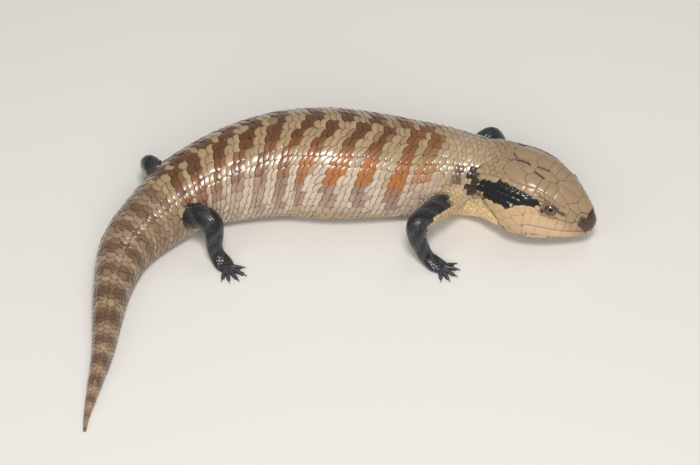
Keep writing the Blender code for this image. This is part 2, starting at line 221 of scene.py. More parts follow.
def fade(value, low, high):
    """0 below low, 1 above high and a smooth change between."""
    part = np.clip((value - low) / (high - low), 0.0, 1.0)
    return part * part * (3.0 - 2.0 * part)


def bump_at(value, centre, width):
    """A smooth bump of height one around a centre."""
    return np.exp(-(((value - centre) / width) ** 2))


def even_columns(rings, columns):
    """Rings of points, first and last the same, spaced evenly by arc on each half."""
    middle = (rings.shape[1] - 1) // 2
    result = np.empty((len(rings), columns, 3))
    wanted = np.arange(columns) * 2.0 / columns - 1.0
    girths = np.empty(len(rings))
    for number, ring in enumerate(rings):
        lengths = np.linalg.norm(np.diff(ring, axis=0), axis=1)
        arc = np.concatenate(([0.0], np.cumsum(lengths)))
        girths[number] = arc[-1]
        arc -= arc[middle]
        arc = np.where(arc < 0.0, arc / -arc[0], arc / arc[-1])
        for axis in range(3):
            result[number, :, axis] = np.interp(wanted, arc, ring[:, axis])
    return result, girths


class Form:
    """A long rounded shape: rows of points a step apart, in columns from belly to belly.

    A place on it is its distance along in millimetres and its share of the half girth:
    0 is the top of the back, +1 the belly by the left side and -1 by the right side.
    """

    def __init__(self, grid, girths, step):
        self.grid = grid
        self.step = step
        self.half_girths = girths / 2.0
        self.length = (len(grid) - 1) * step
        self.find_normals()

    def find_normals(self):
        """Outward normals of the grid as it is now."""
        along = np.gradient(self.grid, axis=0)
        around = np.roll(self.grid, -1, axis=1) - np.roll(self.grid, 1, axis=1)
        self.normals = unit(np.cross(around, along))

    def raise_by(self, heights):
        """Move the grid out along its normals, which stay those of the plain form."""
        self.grid = self.grid + self.normals * heights[..., None]

    def places(self):
        """Distance and share of each point of the grid."""
        rows, columns = self.grid.shape[:2]
        s = np.arange(rows) * self.step
        v = np.arange(columns) * 2.0 / columns - 1.0
        return np.meshgrid(s, v, indexing="ij")

    def mixed(self, values, s, v):
        """Values of a grid at places between its points."""
        rows, columns = values.shape[:2]
        row = np.clip(s / self.step, 0.0, rows - 1.001)
        column = (v + 1.0) * 0.5 * columns
        i = row.astype(int)
        a = (row - i)[..., None]
        base = np.floor(column).astype(int)
        b = (column - base)[..., None]
        j = base % columns
        k = (base + 1) % columns
        low = values[i, j] * (1 - b) + values[i, k] * b
        high = values[i + 1, j] * (1 - b) + values[i + 1, k] * b
        return low * (1 - a) + high * a

    def girth_at(self, s):
        """Half the girth in millimetres at a distance along."""
        return np.interp(s, np.arange(len(self.half_girths)) * self.step, self.half_girths)

    def at(self, s, v, height=0.0):
        """Points in millimetres at places, a height above the surface."""
        s, v, height = np.broadcast_arrays(np.asarray(s, float), v, height)
        return self.mixed(self.grid, s, v) + self.normal_at(s, v) * height[..., None]

    def normal_at(self, s, v):
        """Outward normals at places."""
        s, v = np.broadcast_arrays(np.asarray(s, float), v)
        return unit(self.mixed(self.normals, s, v))


def body_rows():
    """All stations: x, y, half width, top, underside, squareness, taper, level, roll."""
    heading = math.radians(HEAD_HEADING)
    rows = []
    for back, half, top, under, square, taper in HEAD_STATIONS:
        x = HEAD_TIP[0] - math.cos(heading) * back
        y = HEAD_TIP[1] - math.sin(heading) * back
        rows.append((x, y, half, top, under, square, taper, WIDEST_HEAD, HEAD_ROLL))
    for x, y, half, height in BODY_STATIONS:
        under = -UNDERSIDE_DIP * height
        rows.append((x, y, half, height, under, BACK_SQUARENESS, 0.0, WIDEST_BODY, 0.0))
    return rows


def body_form():
    """The form of head, neck, trunk and tail."""
    rows = body_rows()
    places = even_places(rows, [0, 1], BODY_STEP)
    values = curve_values(rows, places)
    small = 0.01
    ahead = curve_values(rows, np.maximum(places - small, 0.0))[:, :2]
    behind = curve_values(rows, np.minimum(places + small, len(rows) - 1.0))[:, :2]
    forward = unit(ahead - behind)
    x, y, half, top, under, square, taper, level, roll = values.T[:, :, None]
    turn = np.linspace(-math.pi, math.pi, 721)[None, :]
    upper = np.cos(turn) > 0.0
    exponent = 2.0 / np.where(upper, square, BELLY_SQUARENESS)
    side = half * np.sign(np.sin(turn)) * np.abs(np.sin(turn)) ** exponent
    rise = np.abs(np.cos(turn)) ** exponent
    middle = under + level * (top - under)
    narrow = 1.0 - taper * rise * rise * (3.0 - 2.0 * rise)
    side = np.where(upper, side * narrow, side)
    lift = np.where(upper, (top - middle) * rise, (under - middle) * rise)
    tilt = np.radians(roll)
    across = side * np.cos(tilt) - lift * np.sin(tilt)
    height = middle + side * np.sin(tilt) + lift * np.cos(tilt)
    rings = np.stack((
        x - ORIGIN_X - forward[:, 1:] * across,
        y - ORIGIN_Y + forward[:, :1] * across,
        np.maximum(height, 0.0),
    ), axis=-1)
    grid, girths = even_columns(rings, BODY_COLUMNS)
    smooth_neck(grid)
    return Form(grid, girths, BODY_STEP)


def smooth_neck(grid):
    """Even out the rows where the head turns off the neck, so that none fold over."""
    first, last = (round(place / BODY_STEP) for place in NECK_BEND)
    leave = (grid[first] - grid[first - 2]) / 2.0
    arrive = (grid[last + 2] - grid[last]) / 2.0
    count = last - first
    for row in range(first + 1, last):
        q = (row - first) / count
        start = (1.0 + 2.0 * q) * (1.0 - q) ** 2 * grid[first] + q * q * (3.0 - 2.0 * q) * grid[last]
        bend = q * (1.0 - q) ** 2 * leave - q * q * (1.0 - q) * arrive
        grid[row] = start + bend * count * 0.6


def tube_form(centres, ways, across, wide, high, step, columns):
    """A form of oval rings round a line of centres, its top towards way x across."""
    rise = np.cross(ways, across)
    turn = np.linspace(-math.pi, math.pi, 241)
    rings = (
        centres[:, None, :]
        + rise[:, None, :] * (high[:, None] * np.cos(turn))[..., None]
        + across[:, None, :] * (wide[:, None] * np.sin(turn))[..., None]
    )
    grid, girths = even_columns(rings, columns)
    form = Form(grid, girths, step)
    outward = ((form.grid - centres[:, None, :]) * form.normals).sum()
    if outward < 0.0:
        form.normals = -form.normals
    return form


def limb_form(limb):
    """The form of one limb, from inside the body to the root of the toes."""
    rows = [(x - ORIGIN_X, y - ORIGIN_Y, z, a, b) for x, y, z, a, b in limb["points"]]
    values = curve_values(rows, even_places(rows, [0, 1, 2], LIMB_STEP))
    centres = values[:, :3]
    ways = unit(np.gradient(centres, axis=0))
    heading = math.radians(limb["heading"])
    across = Vector((-math.sin(heading), math.cos(heading), 0.0))
    before = Vector(ways[-1])
    sides = []
    for way in reversed(ways):
        way = Vector(way)
        across = before.rotation_difference(way) @ across
        across = (across - way * across.dot(way)).normalized()
        sides.append(tuple(across))
        before = way
    sides = np.array(sides[::-1])
    wide = values[:, 3]
    high = values[:, 4]
    return tube_form(centres, ways, sides, wide, high, LIMB_STEP, LIMB_COLUMNS)


def toe_form(limb, turn, length):
    """The form of one toe, from inside the foot to its tip."""
    root = limb["points"][-1]
    heading = math.radians(limb["heading"])
    angle = heading + math.radians(turn)
    way = np.array((math.cos(angle), math.sin(angle), 0.0))
    sideways = np.array((-math.sin(heading), math.cos(heading), 0.0))
    palm = np.array((root[0] - ORIGIN_X, root[1] - ORIGIN_Y, 0.0))
    start = palm + sideways * 3.0 * math.sin(math.radians(turn)) - way * TOE_ROOT_BACK
    reach = TOE_ROOT_BACK + length
    count = int(reach / TOE_STEP) + 1
    share = np.linspace(0.0, 1.0, count)
    height = np.interp(share, (0.0, 0.45, 0.8, 1.0), (1.5, 1.75, 1.25, 0.85))
    middle = 0.5 * (TOE_RADIUS + TOE_TIP_RADIUS)
    sizes = (TOE_RADIUS, TOE_RADIUS, middle, TOE_TIP_RADIUS)
    radius = np.interp(share, (0.0, 0.45, 0.8, 1.0), sizes)
    centres = start + way * (share * reach)[:, None]
    centres[:, 2] = height
    ways = np.repeat(way[None, :], count, axis=0)
    across = np.cross(np.array((0.0, 0.0, 1.0)), ways)
    return tube_form(centres, ways, across, radius, radius, reach / (count - 1), TOE_COLUMNS)


# Head landmarks, as distance behind the snout and arc from the crown's middle
EYE_ARC = 18.0
MOUTH_LINE = ((0.0, 8.0), (2.0, 11.5), (5.0, 16.7), (10.4, 22.7), (14.6, 26.4), (20.9, 30.2),
              (25.5, 32.2), (29.0, 34.0), (34.0, 36.5))
STREAK_TOP = ((27.0, 19.6), (30.0, 18.8), (35.0, 18.3), (44.0, 18.3), (50.0, 17.6),
              (55.0, 17.4), (65.0, 18.0), (70.0, 21.0))
STREAK_LOW = ((27.0, 20.6), (30.7, 23.3), (36.0, 26.7), (42.2, 28.6), (47.6, 29.6),
              (52.2, 29.5), (60.0, 29.8), (65.0, 26.5), (70.0, 24.0))
CREASE = ((71.0, 12.0), (70.4, 18.0), (68.6, 25.0), (66.0, 29.0), (62.0, 33.1), (54.5, 37.3),
          (49.0, 41.0), (46.0, 50.0), (45.0, 60.0))


HEAD_EDGE_ARC = (0.0, 8.0, 12.0, 18.0, 25.0, 29.0, 33.1, 37.3, 41.0, 50.0, 60.0)
HEAD_EDGE_S = (65.0, 67.0, 71.0, 70.4, 68.6, 66.0, 62.0, 54.5, 49.0, 46.0, 45.0)


def line_value(line, s):
    """Arc of a line of landmarks at distances behind the snout."""
    known = sorted(line)
    return np.interp(s, [p[0] for p in known], [p[1] for p in known])


def way_from(line, s, arc):
    """Distance of places from a line of landmarks."""
    nearest = np.full(np.shape(s), 1e9)
    for (s0, a0), (s1, a1) in zip(line, line[1:]):
        ds = s1 - s0
        da = a1 - a0
        part = np.clip(((s - s0) * ds + (arc - a0) * da) / (ds * ds + da * da), 0.0, 1.0)
        nearest = np.minimum(nearest, np.hypot(s - s0 - part * ds, arc - a0 - part * da))
    return nearest


def head_end(arc):
    """Distance behind the snout where the head's own scales end, at arcs down the side."""
    return np.interp(np.abs(arc), HEAD_EDGE_ARC, HEAD_EDGE_S)


def head_relief(s, arc):
    """Folds and hollows of the head, in millimetres out from the plain form."""
    arc = np.abs(arc)
    relief = np.zeros(np.shape(s))
    brow = fade(s, 13.0, 18.0) * (1.0 - fade(s, 29.0, 35.0))
    relief += 0.45 * brow * bump_at(arc, 13.6, 1.9)
    relief -= 1.25 * bump_at(s, 23.6, 4.2) * bump_at(arc, 18.6, 3.4)
    relief -= 0.5 * bump_at(s, 14.0, 4.5) * bump_at(arc, 15.0, 2.6)
    relief += 0.5 * bump_at(s, 45.0, 11.0) * bump_at(arc, 34.0, 6.0)
    mouth = way_from(MOUTH_LINE, s, arc)
    relief -= 0.5 * bump_at(mouth, 0.0, 0.6)
    crease = way_from(CREASE, s, arc)
    relief -= (0.15 + 1.1 * fade(arc, 22.0, 32.0)) * bump_at(crease, 0.0, 1.5)
    behind = fade(s, head_end(arc), head_end(arc) + 1.5) * (1.0 - fade(s, 66.0, 80.0))
    relief -= 0.7 * behind * fade(arc, 14.0, 30.0)
    relief -= 0.9 * bump_at(s, 63.6, 1.8) * bump_at(arc, 31.8, 1.6)
    return relief * (1.0 - fade(s, 78.0, 84.0))


def tone(red, green, blue):
    """A colour given as on a screen, in linear light."""
    screen = np.array((red, green, blue), float) / 255.0
    return np.where(screen <= 0.04045, screen / 12.92, ((screen + 0.055) / 1.055) ** 2.4)


CREAM = tone(171, 145, 110)
PALE_FLANK = tone(202, 182, 161)
BELLY = tone(170, 140, 101)
DEEP_BROWN = tone(102, 64, 34)
MID_BROWN = tone(136, 86, 50)
RUST = tone(174, 110, 56)
DULL_RUST = tone(142, 104, 82)
GREY_PINK = tone(156, 126, 108)
TAIL_BROWN = tone(104, 76, 54)
TAIL_TAN = tone(168, 140, 112)
SHOULDER = tone(176, 152, 122)
# Yellow of the low neck and the forelimbs' roots: the neck's own colour, brightened with painted light
NECK_YELLOW_AND_LIGHT = tone(225, 193, 139)
CROWN_TAN = tone(158, 133, 104)
CHEEK_TAN = tone(192, 160, 122)
SHADED_CHIN_TAN = tone(170, 143, 110)
LIP_PALE = tone(204, 174, 140)
SEAM = tone(70, 48, 34)
BLACK = tone(19, 21, 24)
SLATE = tone(56, 58, 63)
SNOUT_BROWN = tone(72, 50, 33)
# Brown of the dark marks, also used as painted shade in the fold behind the jaw
MARK_AND_SHADE_BROWN = tone(52, 36, 27)
SOLE = tone(150, 128, 108)


def blend(first, second, share):
    """A mix of two colours or lists of colours."""
    share = np.asarray(share)[..., None]
    return first * (1.0 - share) + second * share


# Dark bands across the trunk, behind the snout: where those of the right side meet the
# middle of the back, and where those of the left side stand a little down from it
RIGHT_BANDS = (99.0, 111.5, 128.5, 143.5, 160.5, 176.5, 192.5, 209.5, 225.5, 240.5, 254.5)
LEFT_BANDS = (104.5, 118.5, 134.0, 151.0, 170.5, 188.5, 203.5, 217.5, 231.5, 244.5, 257.5)
LEFT_BAND_ARC = 14.0
BAND_HALF = 3.7
BAND_LEAN = 0.32
LEAN_MORE = 0.2
LEAN_END = 34.0


def back_middle(s):
    """Arc at which the bands of the two sides meet, which wanders off the top line."""
    return np.interp(s, (95.0, 120.0, 165.0, 190.0, 250.0, 300.0), (3.0, 5.4, 5.6, 9.5, 8.0, 0.0))


def band_share(s, arc):
    """How far each place is inside a dark band: 1 in its middle, 0 in the light."""
    left = arc > back_middle(s)
    down = np.where(left, arc - LEFT_BAND_ARC, -arc)
    best = np.zeros(np.shape(s))
    for number, (right_s, left_s) in enumerate(zip(RIGHT_BANDS, LEFT_BANDS)):
        lean = BAND_LEAN + LEAN_MORE * math.sin(0.1 * math.pi * number)
        lean = lean * np.where(left, fade(down, 4.0, 14.0), 1.0)
        middle = np.where(left, left_s, right_s) + lean * np.minimum(down, LEAN_END)
        middle = middle + 0.05 * np.maximum(down - LEAN_END, 0.0)
        width = BAND_HALF + 0.9 * bump_at(down, 27.0, 10.0) + 0.25 * math.sin(2.3 * number)
        width = width + np.where(left & (down < 20.0), 0.7, 0.0)
        inside = 1.0 - fade(np.abs(s - middle), width - 0.4, width + 0.4)
        best = np.maximum(best, inside)
    return best


def wave(s, arc, scale, phase):
    """A slow uneven wave between -1 and 1 over the skin."""
    a = np.sin(s / scale + 1.7 * np.sin(arc / scale * 0.8 + phase) + phase)
    b = np.sin(arc / scale * 1.3 - 0.6 * s / scale + 2.1 * phase)
    return 0.5 * (a + b)


def body_tone(s, arc):
    """Colour of the neck, trunk and tail at places."""
    down = np.abs(arc)
    aside = np.abs(arc - back_middle(s))
    ground = blend(CREAM, PALE_FLANK, fade(down, 14.0, 32.0))
    ground = blend(ground, BELLY, fade(down, 46.0, 60.0))
    ground = blend(ground, SHOULDER, 1.0 - fade(s, 84.0, 104.0))
    low = blend(RUST, DULL_RUST, fade(s, 158.0, 198.0))
    pale_from = np.interp(s, (180.0, 215.0), (39.0, 31.0))
    low = blend(low, GREY_PINK, fade(aside, pale_from, pale_from + 4.0))
    low = blend(MID_BROWN, low, fade(aside, 18.0, 29.0))
    dark = blend(DEEP_BROWN, low, fade(aside, 11.0, 21.0))
    dark = blend(dark, RUST, 0.3 * (1.0 - fade(s, 108.0, 138.0)))
    dark = blend(dark, ground, fade(down, 46.0, 56.0))
    dark = blend(dark, ground, 0.5 * fade(s, 195.0, 225.0) * fade(aside, 33.0, 39.0))
    strength = band_share(s, arc) * (1.0 - fade(s, 256.0, 274.0)) * fade(s, 92.0, 98.0)
    first = 1.0 - fade(s - 0.34 * down, 100.0, 107.0)
    weaker = first * (0.35 * fade(aside, 4.0, 14.0) + 0.5 * fade(down, 24.0, 31.0))
    colour = blend(ground, dark, strength * (1.0 - weaker))
    colour = blend(colour, tail_tone(s, arc), fade(s, 256.0, 276.0))
    return blend(colour, neck_tone(s, arc), 1.0 - fade(s, 90.0, 98.0))


TAIL_BANDS = (263.0, 275.5, 288.5, 300.5, 313.5, 326.0, 341.0, 357.0, 369.0, 382.0, 394.0, 404.0,
              413.0)


def tail_tone(s, arc):
    """Colour of the tail: brown with tan bands, paler underneath."""
    light = np.zeros(np.shape(s))
    for middle in TAIL_BANDS:
        light = np.maximum(light, bump_at(s, middle + 0.08 * np.abs(arc), 3.4))
    down = np.abs(arc) / np.interp(s, (260.0, 300.0, 350.0, 417.0), (62.0, 45.0, 24.0, 4.0))
    light = np.maximum(light, 0.62 * (1.0 - fade(s, 275.0, 310.0)) * fade(down, 0.1, 0.25))
    colour = blend(TAIL_BROWN, TAIL_TAN, 0.9 * light)
    return blend(colour, SOLE, 0.75 * fade(down, 0.55, 0.85))


def neck_tone(s, arc):
    """Colour of the neck: speckled tan, yellower low down, with dark patches at the side."""
    down = np.abs(arc)
    colour = blend(SHOULDER, CROWN_TAN, 0.6 * (1.0 - fade(s, 66.0, 80.0)))
    # The neck's own yellow low down, brightened as painted light where the neck faces down.
    colour = blend(colour, NECK_YELLOW_AND_LIGHT, fade(down, 28.0, 40.0) * (1.0 - fade(s, 96.0, 104.0)))
    patch = fade(s, 66.5, 68.5) * (1.0 - fade(s, 76.5, 78.5))
    patch = patch * fade(down, 10.5, 12.0) * (1.0 - fade(down, 29.0, 31.0))
    smear = fade(s, 79.0, 81.0) * (1.0 - fade(s, 86.0, 90.0))
    smear = smear * fade(down, 11.5, 14.0) * (1.0 - fade(down, 23.0, 26.0))
    rough = 0.5 + 0.5 * wave(s, arc, 1.6, 0.4)
    colour = blend(colour, MARK_AND_SHADE_BROWN, patch * fade(rough, 0.12, 0.35))
    return blend(colour, MARK_AND_SHADE_BROWN, 0.75 * smear * fade(rough, 0.15, 0.5))


def head_tone(s, arc):
    """Colour of the head at places, with its dark streaks."""
    down = np.abs(arc)
    colour = blend(CROWN_TAN, CHEEK_TAN, fade(down, 15.0, 24.0))
    colour = blend(colour, LIP_PALE, fade(down, 20.0, 30.0) * (1.0 - fade(s, 24.0, 40.0)))
    # Painted shade: the underside of the jaw is made darker.
    colour = blend(colour, SHADED_CHIN_TAN, fade(down, 41.0, 50.0))
    top = line_value(STREAK_TOP, s) + 0.35 * np.sin(s * 1.1)
    low = line_value(STREAK_LOW, s) + 0.5 * np.sin(s * 1.4 + 1.0)
    streak = fade(down, top - 0.3, top + 0.3) * (1.0 - fade(down, low - 0.3, low + 0.3))
    streak = streak * fade(s, 26.0, 27.5) * (1.0 - fade(s, 67.5, 69.5))
    colour = blend(colour, BLACK, streak)
    before_eye = way_from(((14.0, 15.0), (19.5, 17.4)), s, down)
    colour = blend(colour, MARK_AND_SHADE_BROWN, 0.85 * (1.0 - fade(before_eye, 0.5, 1.0)))
    patch = (1.0 - fade(s, 6.4, 7.4)) * fade(down, 1.2 + 0.9 * s, 2.4 + 0.9 * s)
    patch = patch * (1.0 - fade(down, 13.2, 14.4))
    colour = blend(colour, SNOUT_BROWN, patch)
    middle = arc - crown_shift(s, arc)
    side = way_from(((38.6, 2.4), (35.0, 3.1), (32.2, 3.6)), s, np.abs(middle))
    colour = blend(colour, BLACK, 0.95 * (1.0 - fade(side, 0.3, 0.75)))
    mark = way_from(((51.5, -0.9), (47.5, 0.2), (43.5, 0.9)), s, middle)
    return blend(colour, MARK_AND_SHADE_BROWN, 0.9 * (1.0 - fade(mark, 0.45, 1.0)))


def skin_tone(s, arc):
    """Colour of head, neck, trunk and tail at places, with painted shade along the fold behind the jaw.
    """
    edge = head_end(arc)
    colour = blend(head_tone(s, arc), body_tone(s, arc), fade(s, edge - 0.6, edge + 0.6))
    down = np.abs(arc)
    # Painted shade: the skin is darkened along the fold behind the jaw, where the crease would fall
    # into shadow.
    fold = bump_at(way_from(CREASE, s, down), 0.0, 1.0) * fade(down, 22.0, 28.0)
    return blend(colour, MARK_AND_SHADE_BROWN, 0.75 * fold * (1.0 - fade(down, 40.0, 46.0)))


def crown_shift(s, arc):
    """How far the middle of the crown lies off the form's own top line."""
    shift = np.interp(s, (0.0, 11.0, 22.0, 40.0, 52.0, 60.0), (0.0, -0.2, -2.1, -2.1, 0.0, 0.0))
    return shift * np.clip(1.0 - np.abs(arc) / 18.0, 0.0, 1.0)


# Which way the pale side of a right limb faces, and how far along its length the
# black begins on the black side and on the pale side
PALE_SIDES = {
    "fore": ((0.78, -0.30, -0.55), 0.17, 0.52),
    "hind": ((-0.6, 0.10, -0.7), 0.14, 0.46),
}


def limb_tone(name, form, s, v):
    """Colour of a limb: slate black, with its front or under side pale near the body."""
    part, side = name.split("_")
    way, black_from, pale_to = PALE_SIDES[part]
    mirror = 1.0 if side == "right" else -1.0
    towards = form.normal_at(s, v) @ (np.array(way) * np.array((1.0, mirror, 1.0)))
    share = s / form.length + 0.02 * np.sin(1.9 * s + 14.0 * v)
    border = black_from + (pale_to - black_from) * fade(towards, 0.3, 0.75)
    pale = 1.0 - fade(share, border - 0.03, border + 0.03)
    colour = blend(SLATE, BLACK, 0.5 + 0.5 * np.sin(v * 9.0 + s * 0.7))
    colour = blend(colour, SOLE, 0.6 * fade(np.abs(v), 0.76, 0.92))
    root = NECK_YELLOW_AND_LIGHT if part == "fore" else GREY_PINK
    return blend(colour, blend(root, SHOULDER, 0.5), pale)


def make_object(name, points, faces, material, colours=None, patches=None):
    """An object from points in millimetres and arrays of triangles and quads."""
    mesh = bpy.data.meshes.new(name)
    corners = np.concatenate([face.ravel() for face in faces])
    sizes = np.concatenate([np.full(len(face), face.shape[1]) for face in faces])
    mesh.vertices.add(len(points))
    mesh.vertices.foreach_set("co", (points * MM).ravel())
    mesh.loops.add(len(corners))
    mesh.loops.foreach_set("vertex_index", corners.astype(np.int32))
    mesh.polygons.add(len(sizes))
    starts = np.concatenate(([0], np.cumsum(sizes)[:-1])).astype(np.int32)
    mesh.polygons.foreach_set("loop_start", starts)
    mesh.update(calc_edges=True)
    if colours is not None:
        paint(mesh, colours)
    if patches is not None:
        layer = mesh.uv_layers.new(name="OFBake")
        layer.data.foreach_set("uv", patches[corners].ravel())
    mesh.materials.append(material)
    mesh.shade_smooth()
    thing = bpy.data.objects.new(name, mesh)
    bpy.context.scene.collection.objects.link(thing)
    return thing


def paint(mesh, colours):
    """Give a mesh its markings, one colour at each point."""
    layer = mesh.color_attributes.new("markings", "FLOAT_COLOR", "POINT")
    full = np.ones((len(colours), 4))
    full[:, :3] = np.clip(colours, 0.0, 1.0)
    layer.data.foreach_set("color", full.ravel())


class Coat:
    """Scales gathered for one object."""

    def __init__(self, name, slot):
        self.name = name
        self.slot = slot
        self.points = []
        self.colours = []
        self.patches = []
        self.faces = []
        self.count = 0

    def add(self, points, faces, colours, patches):
        """Add many like scales: arrays of scale, point and value, and the faces of one."""
        scales, each = points.shape[:2]
        starts = self.count + np.arange(scales)[:, None, None] * each
        for face in faces:
            self.faces.append((starts + face[None]).reshape(-1, face.shape[1]))
        self.points.append(points.reshape(-1, 3))
        self.colours.append(colours.reshape(-1, 3))
        self.patches.append(patches.reshape(-1, 2))
        self.count += scales * each

    def build(self, material):
        """Make the object, with nothing below the floor."""
        points = np.concatenate(self.points)
        points[:, 2] = np.maximum(points[:, 2], 0.0)
        colours = np.concatenate(self.colours)
        patches = np.concatenate(self.patches)
        thing = make_object(self.name, points, self.faces, material, colours, patches)
        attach(thing, "root")
        return thing


PATCH = 0.003


def ring_faces(rings, around):
    """Faces of a closed stack of rings, with a middle point below and above."""
    k = np.arange(around)
    after = (k + 1) % around
    quads = []
    for ring in range(rings - 1):
        low = ring * around
        high = low + around
        quads.append(np.stack((low + after, low + k, high + k, high + after), axis=1))
    below = rings * around
    last = (rings - 1) * around
    bottom = np.stack((k, after, np.full(around, below)), axis=1)
    top = np.stack((last + after, last + k, np.full(around, below + 1)), axis=1)
    return [np.concatenate(quads), np.concatenate((bottom, top))]


# One scale: reach and level of each of its rings, from the root up to the crown, and
# how much of its own colour each ring shows; the rim is darker
SCALE_AROUND = 20
SCALE_RINGS = ((1.0, -1.0), (1.0, 0.5), (0.89, 0.84), (0.7, 1.0))
SCALE_RIMS = (0.0, 0.0, 0.55, 1.0)


def scale_shape(around=SCALE_AROUND):
    """Places of a scale's points along and across it, their levels, domes and rims."""
    turn = np.arange(around) * 2.0 * math.pi / around
    along = np.sign(np.cos(turn)) * np.abs(np.cos(turn)) ** 0.9
    across = np.sign(np.sin(turn)) * np.abs(np.sin(turn)) ** 0.9
    reach = np.array([ring[0] for ring in SCALE_RINGS])
    level = np.array([ring[1] for ring in SCALE_RINGS])
    a = np.concatenate(((reach[:, None] * along).ravel(), (0.0, 0.0)))
    b = np.concatenate(((reach[:, None] * across).ravel(), (0.0, 0.0)))
    h = np.concatenate((np.repeat(level, around), (-1.0, 1.0)))
    inner = np.concatenate((np.repeat(1.0 - reach**2, around), (0.0, 1.0)))
    rim = np.concatenate((np.repeat(SCALE_RIMS, around), (0.0, 1.0)))
    return a, b, h, inner, rim


def lay_scales(coat, form, s, v, long, wide, tones, depth, lift, rng, patch_box, raised=0.0,
               dome=0.36, slant=0.0, edge=0.3):
    """Overlapping scales bent to a form, each rising towards its free rear edge."""
    a, b, level, inner, rim = scale_shape()
    count = len(s)
    long = np.broadcast_to(long, (count,)) * rng.uniform(0.97, 1.04, count)
    wide = np.broadcast_to(wide, (count,)) * rng.uniform(0.97, 1.03, count)
    twist = rng.normal(0.0, 0.035, count)[:, None]
    along = 0.5 * long[:, None] * a
    across = 0.5 * wide[:, None] * b
    turned = along * np.cos(twist) - across * np.sin(twist)
    across = along * np.sin(twist) + across * np.cos(twist)
    share = 0.5 + turned / long[:, None]
    tip = rng.normal(0.0, 0.045, count)[:, None] * across
    tip = tip + rng.normal(0.0, 0.012, count)[:, None] * turned
    top = lift * (rng.uniform(0.94, 1.06, count)[:, None] * share + 0.06) + tip
    thick = 0.3 * lift
    height = np.where(level < 0.0, -0.3, top + thick * (level - 1.0) + dome * lift * inner)
    height = height - depth + np.broadcast_to(raised, (count,))[:, None]
    girth = form.girth_at(s)[:, None]
    places_s = s[:, None] + turned + np.broadcast_to(slant, (count,))[:, None] * across
    places_v = v[:, None] + across / girth
    points = form.at(places_s, places_v, height)
    bright = rng.uniform(0.9, 1.08, (count, 1, 1)) * rng.uniform(0.985, 1.015, (count, 1, 3))
    full = tones[:, None, :] * bright
    seam = full * np.broadcast_to(edge, (count,))[:, None, None] + SEAM * 0.15
    colours = seam + (full - seam) * rim[None, :, None]
    low, span = patch_box
    root = np.stack((low[0] + span[0] * s / form.length, low[1] + span[1] * (v + 1) / 2), axis=1)
    local = np.stack((a, b), axis=1) * 0.5 * PATCH
    patches = root[:, None, :] + local[None]
    coat.add(points, ring_faces(len(SCALE_RINGS), SCALE_AROUND), colours, patches)


def skin_heights(skin, form, s, v, reach):
    """Height of the skin above a form at places, found from outside."""
    points = form.at(s, v)
    normals = form.normal_at(s, v)
    heights = np.full(len(s), -reach)
    for number, (point, normal) in enumerate(zip(points, normals)):
        start = Vector(point + normal * reach) * MM
        hit = skin.ray_cast(start, -Vector(normal), 2.0 * reach * MM)
        if hit[0] is not None:
            heights[number] = reach - hit[3] / MM
    return heights


def closed_shell(form, depth, start_lead, end_lead, skip):
    """Points and faces of a form's inner shell, closed with a tip at each end."""
    s, v = form.places()
    grid = form.at(s, v, -depth)[::skip, ::skip]
    rows, columns = grid.shape[:2]
    k = np.arange(columns)
    after = (k + 1) % columns
    quads = []
    for row in range(rows - 1):
        low = row * columns
        high = low + columns
        quads.append(np.stack((low + k, high + k, high + after, low + after), axis=1))
    first = grid[0].mean(axis=0) + unit(grid[0].mean(axis=0) - grid[1].mean(axis=0)) * start_lead
    final = grid[-1].mean(axis=0) + unit(grid[-1].mean(axis=0) - grid[-2].mean(axis=0)) * end_lead
    last = (rows - 1) * columns
    count = rows * columns
    caps = np.concatenate((
        np.stack((k, after, np.full(columns, count)), axis=1),
        np.stack((last + after, last + k, np.full(columns, count + 1)), axis=1),
    ))
    points = np.concatenate((grid.reshape(-1, 3), first[None], final[None]))
    return points, [np.concatenate(quads), caps]


def build_skin(body, limbs, toes, material):
    """One skin over the whole animal, a coat's depth inside the solids."""
    s, v = body.places()
    depth = np.interp(s, (0.0, 60.0, 80.0, 380.0, 417.0), (HEAD_DEPTH, HEAD_DEPTH, BODY_DEPTH,
                                                          BODY_DEPTH, 0.35))
    shells = [closed_shell(body, depth, 0.1, 0.3, 2)]
    for form in limbs.values():
        shells.append(closed_shell(form, LIMB_DEPTH, 0.5, 0.5, 2))
    for forms in toes.values():
        for form in forms:
            shells.append(closed_shell(form, TOE_DEPTH, 0.3, 0.3, 1))
    points = []
    faces = []
    count = 0
    for shell_points, shell_faces in shells:
        points.append(shell_points)
        faces.extend(face + count for face in shell_faces)
        count += len(shell_points)
    skin = make_object("skin", np.concatenate(points), faces, material)
    remesh = skin.modifiers.new("join", "REMESH")
    remesh.mode = "VOXEL"
    remesh.voxel_size = SKIN_VOXEL * MM
    smooth = skin.modifiers.new("smooth", "SMOOTH")
    smooth.factor = 0.5
    smooth.iterations = 3
    graph = bpy.context.evaluated_depsgraph_get()
    mesh = bpy.data.meshes.new_from_object(skin.evaluated_get(graph))
    skin.modifiers.clear()
    skin.data = mesh
    mesh.materials.clear()
    mesh.materials.append(material)
    mesh.shade_smooth()
    return skin


def mesh_points(mesh):
    """Points of a mesh in millimetres."""
    points = np.empty(len(mesh.vertices) * 3)
    mesh.vertices.foreach_get("co", points)
    return points.reshape(-1, 3) / MM


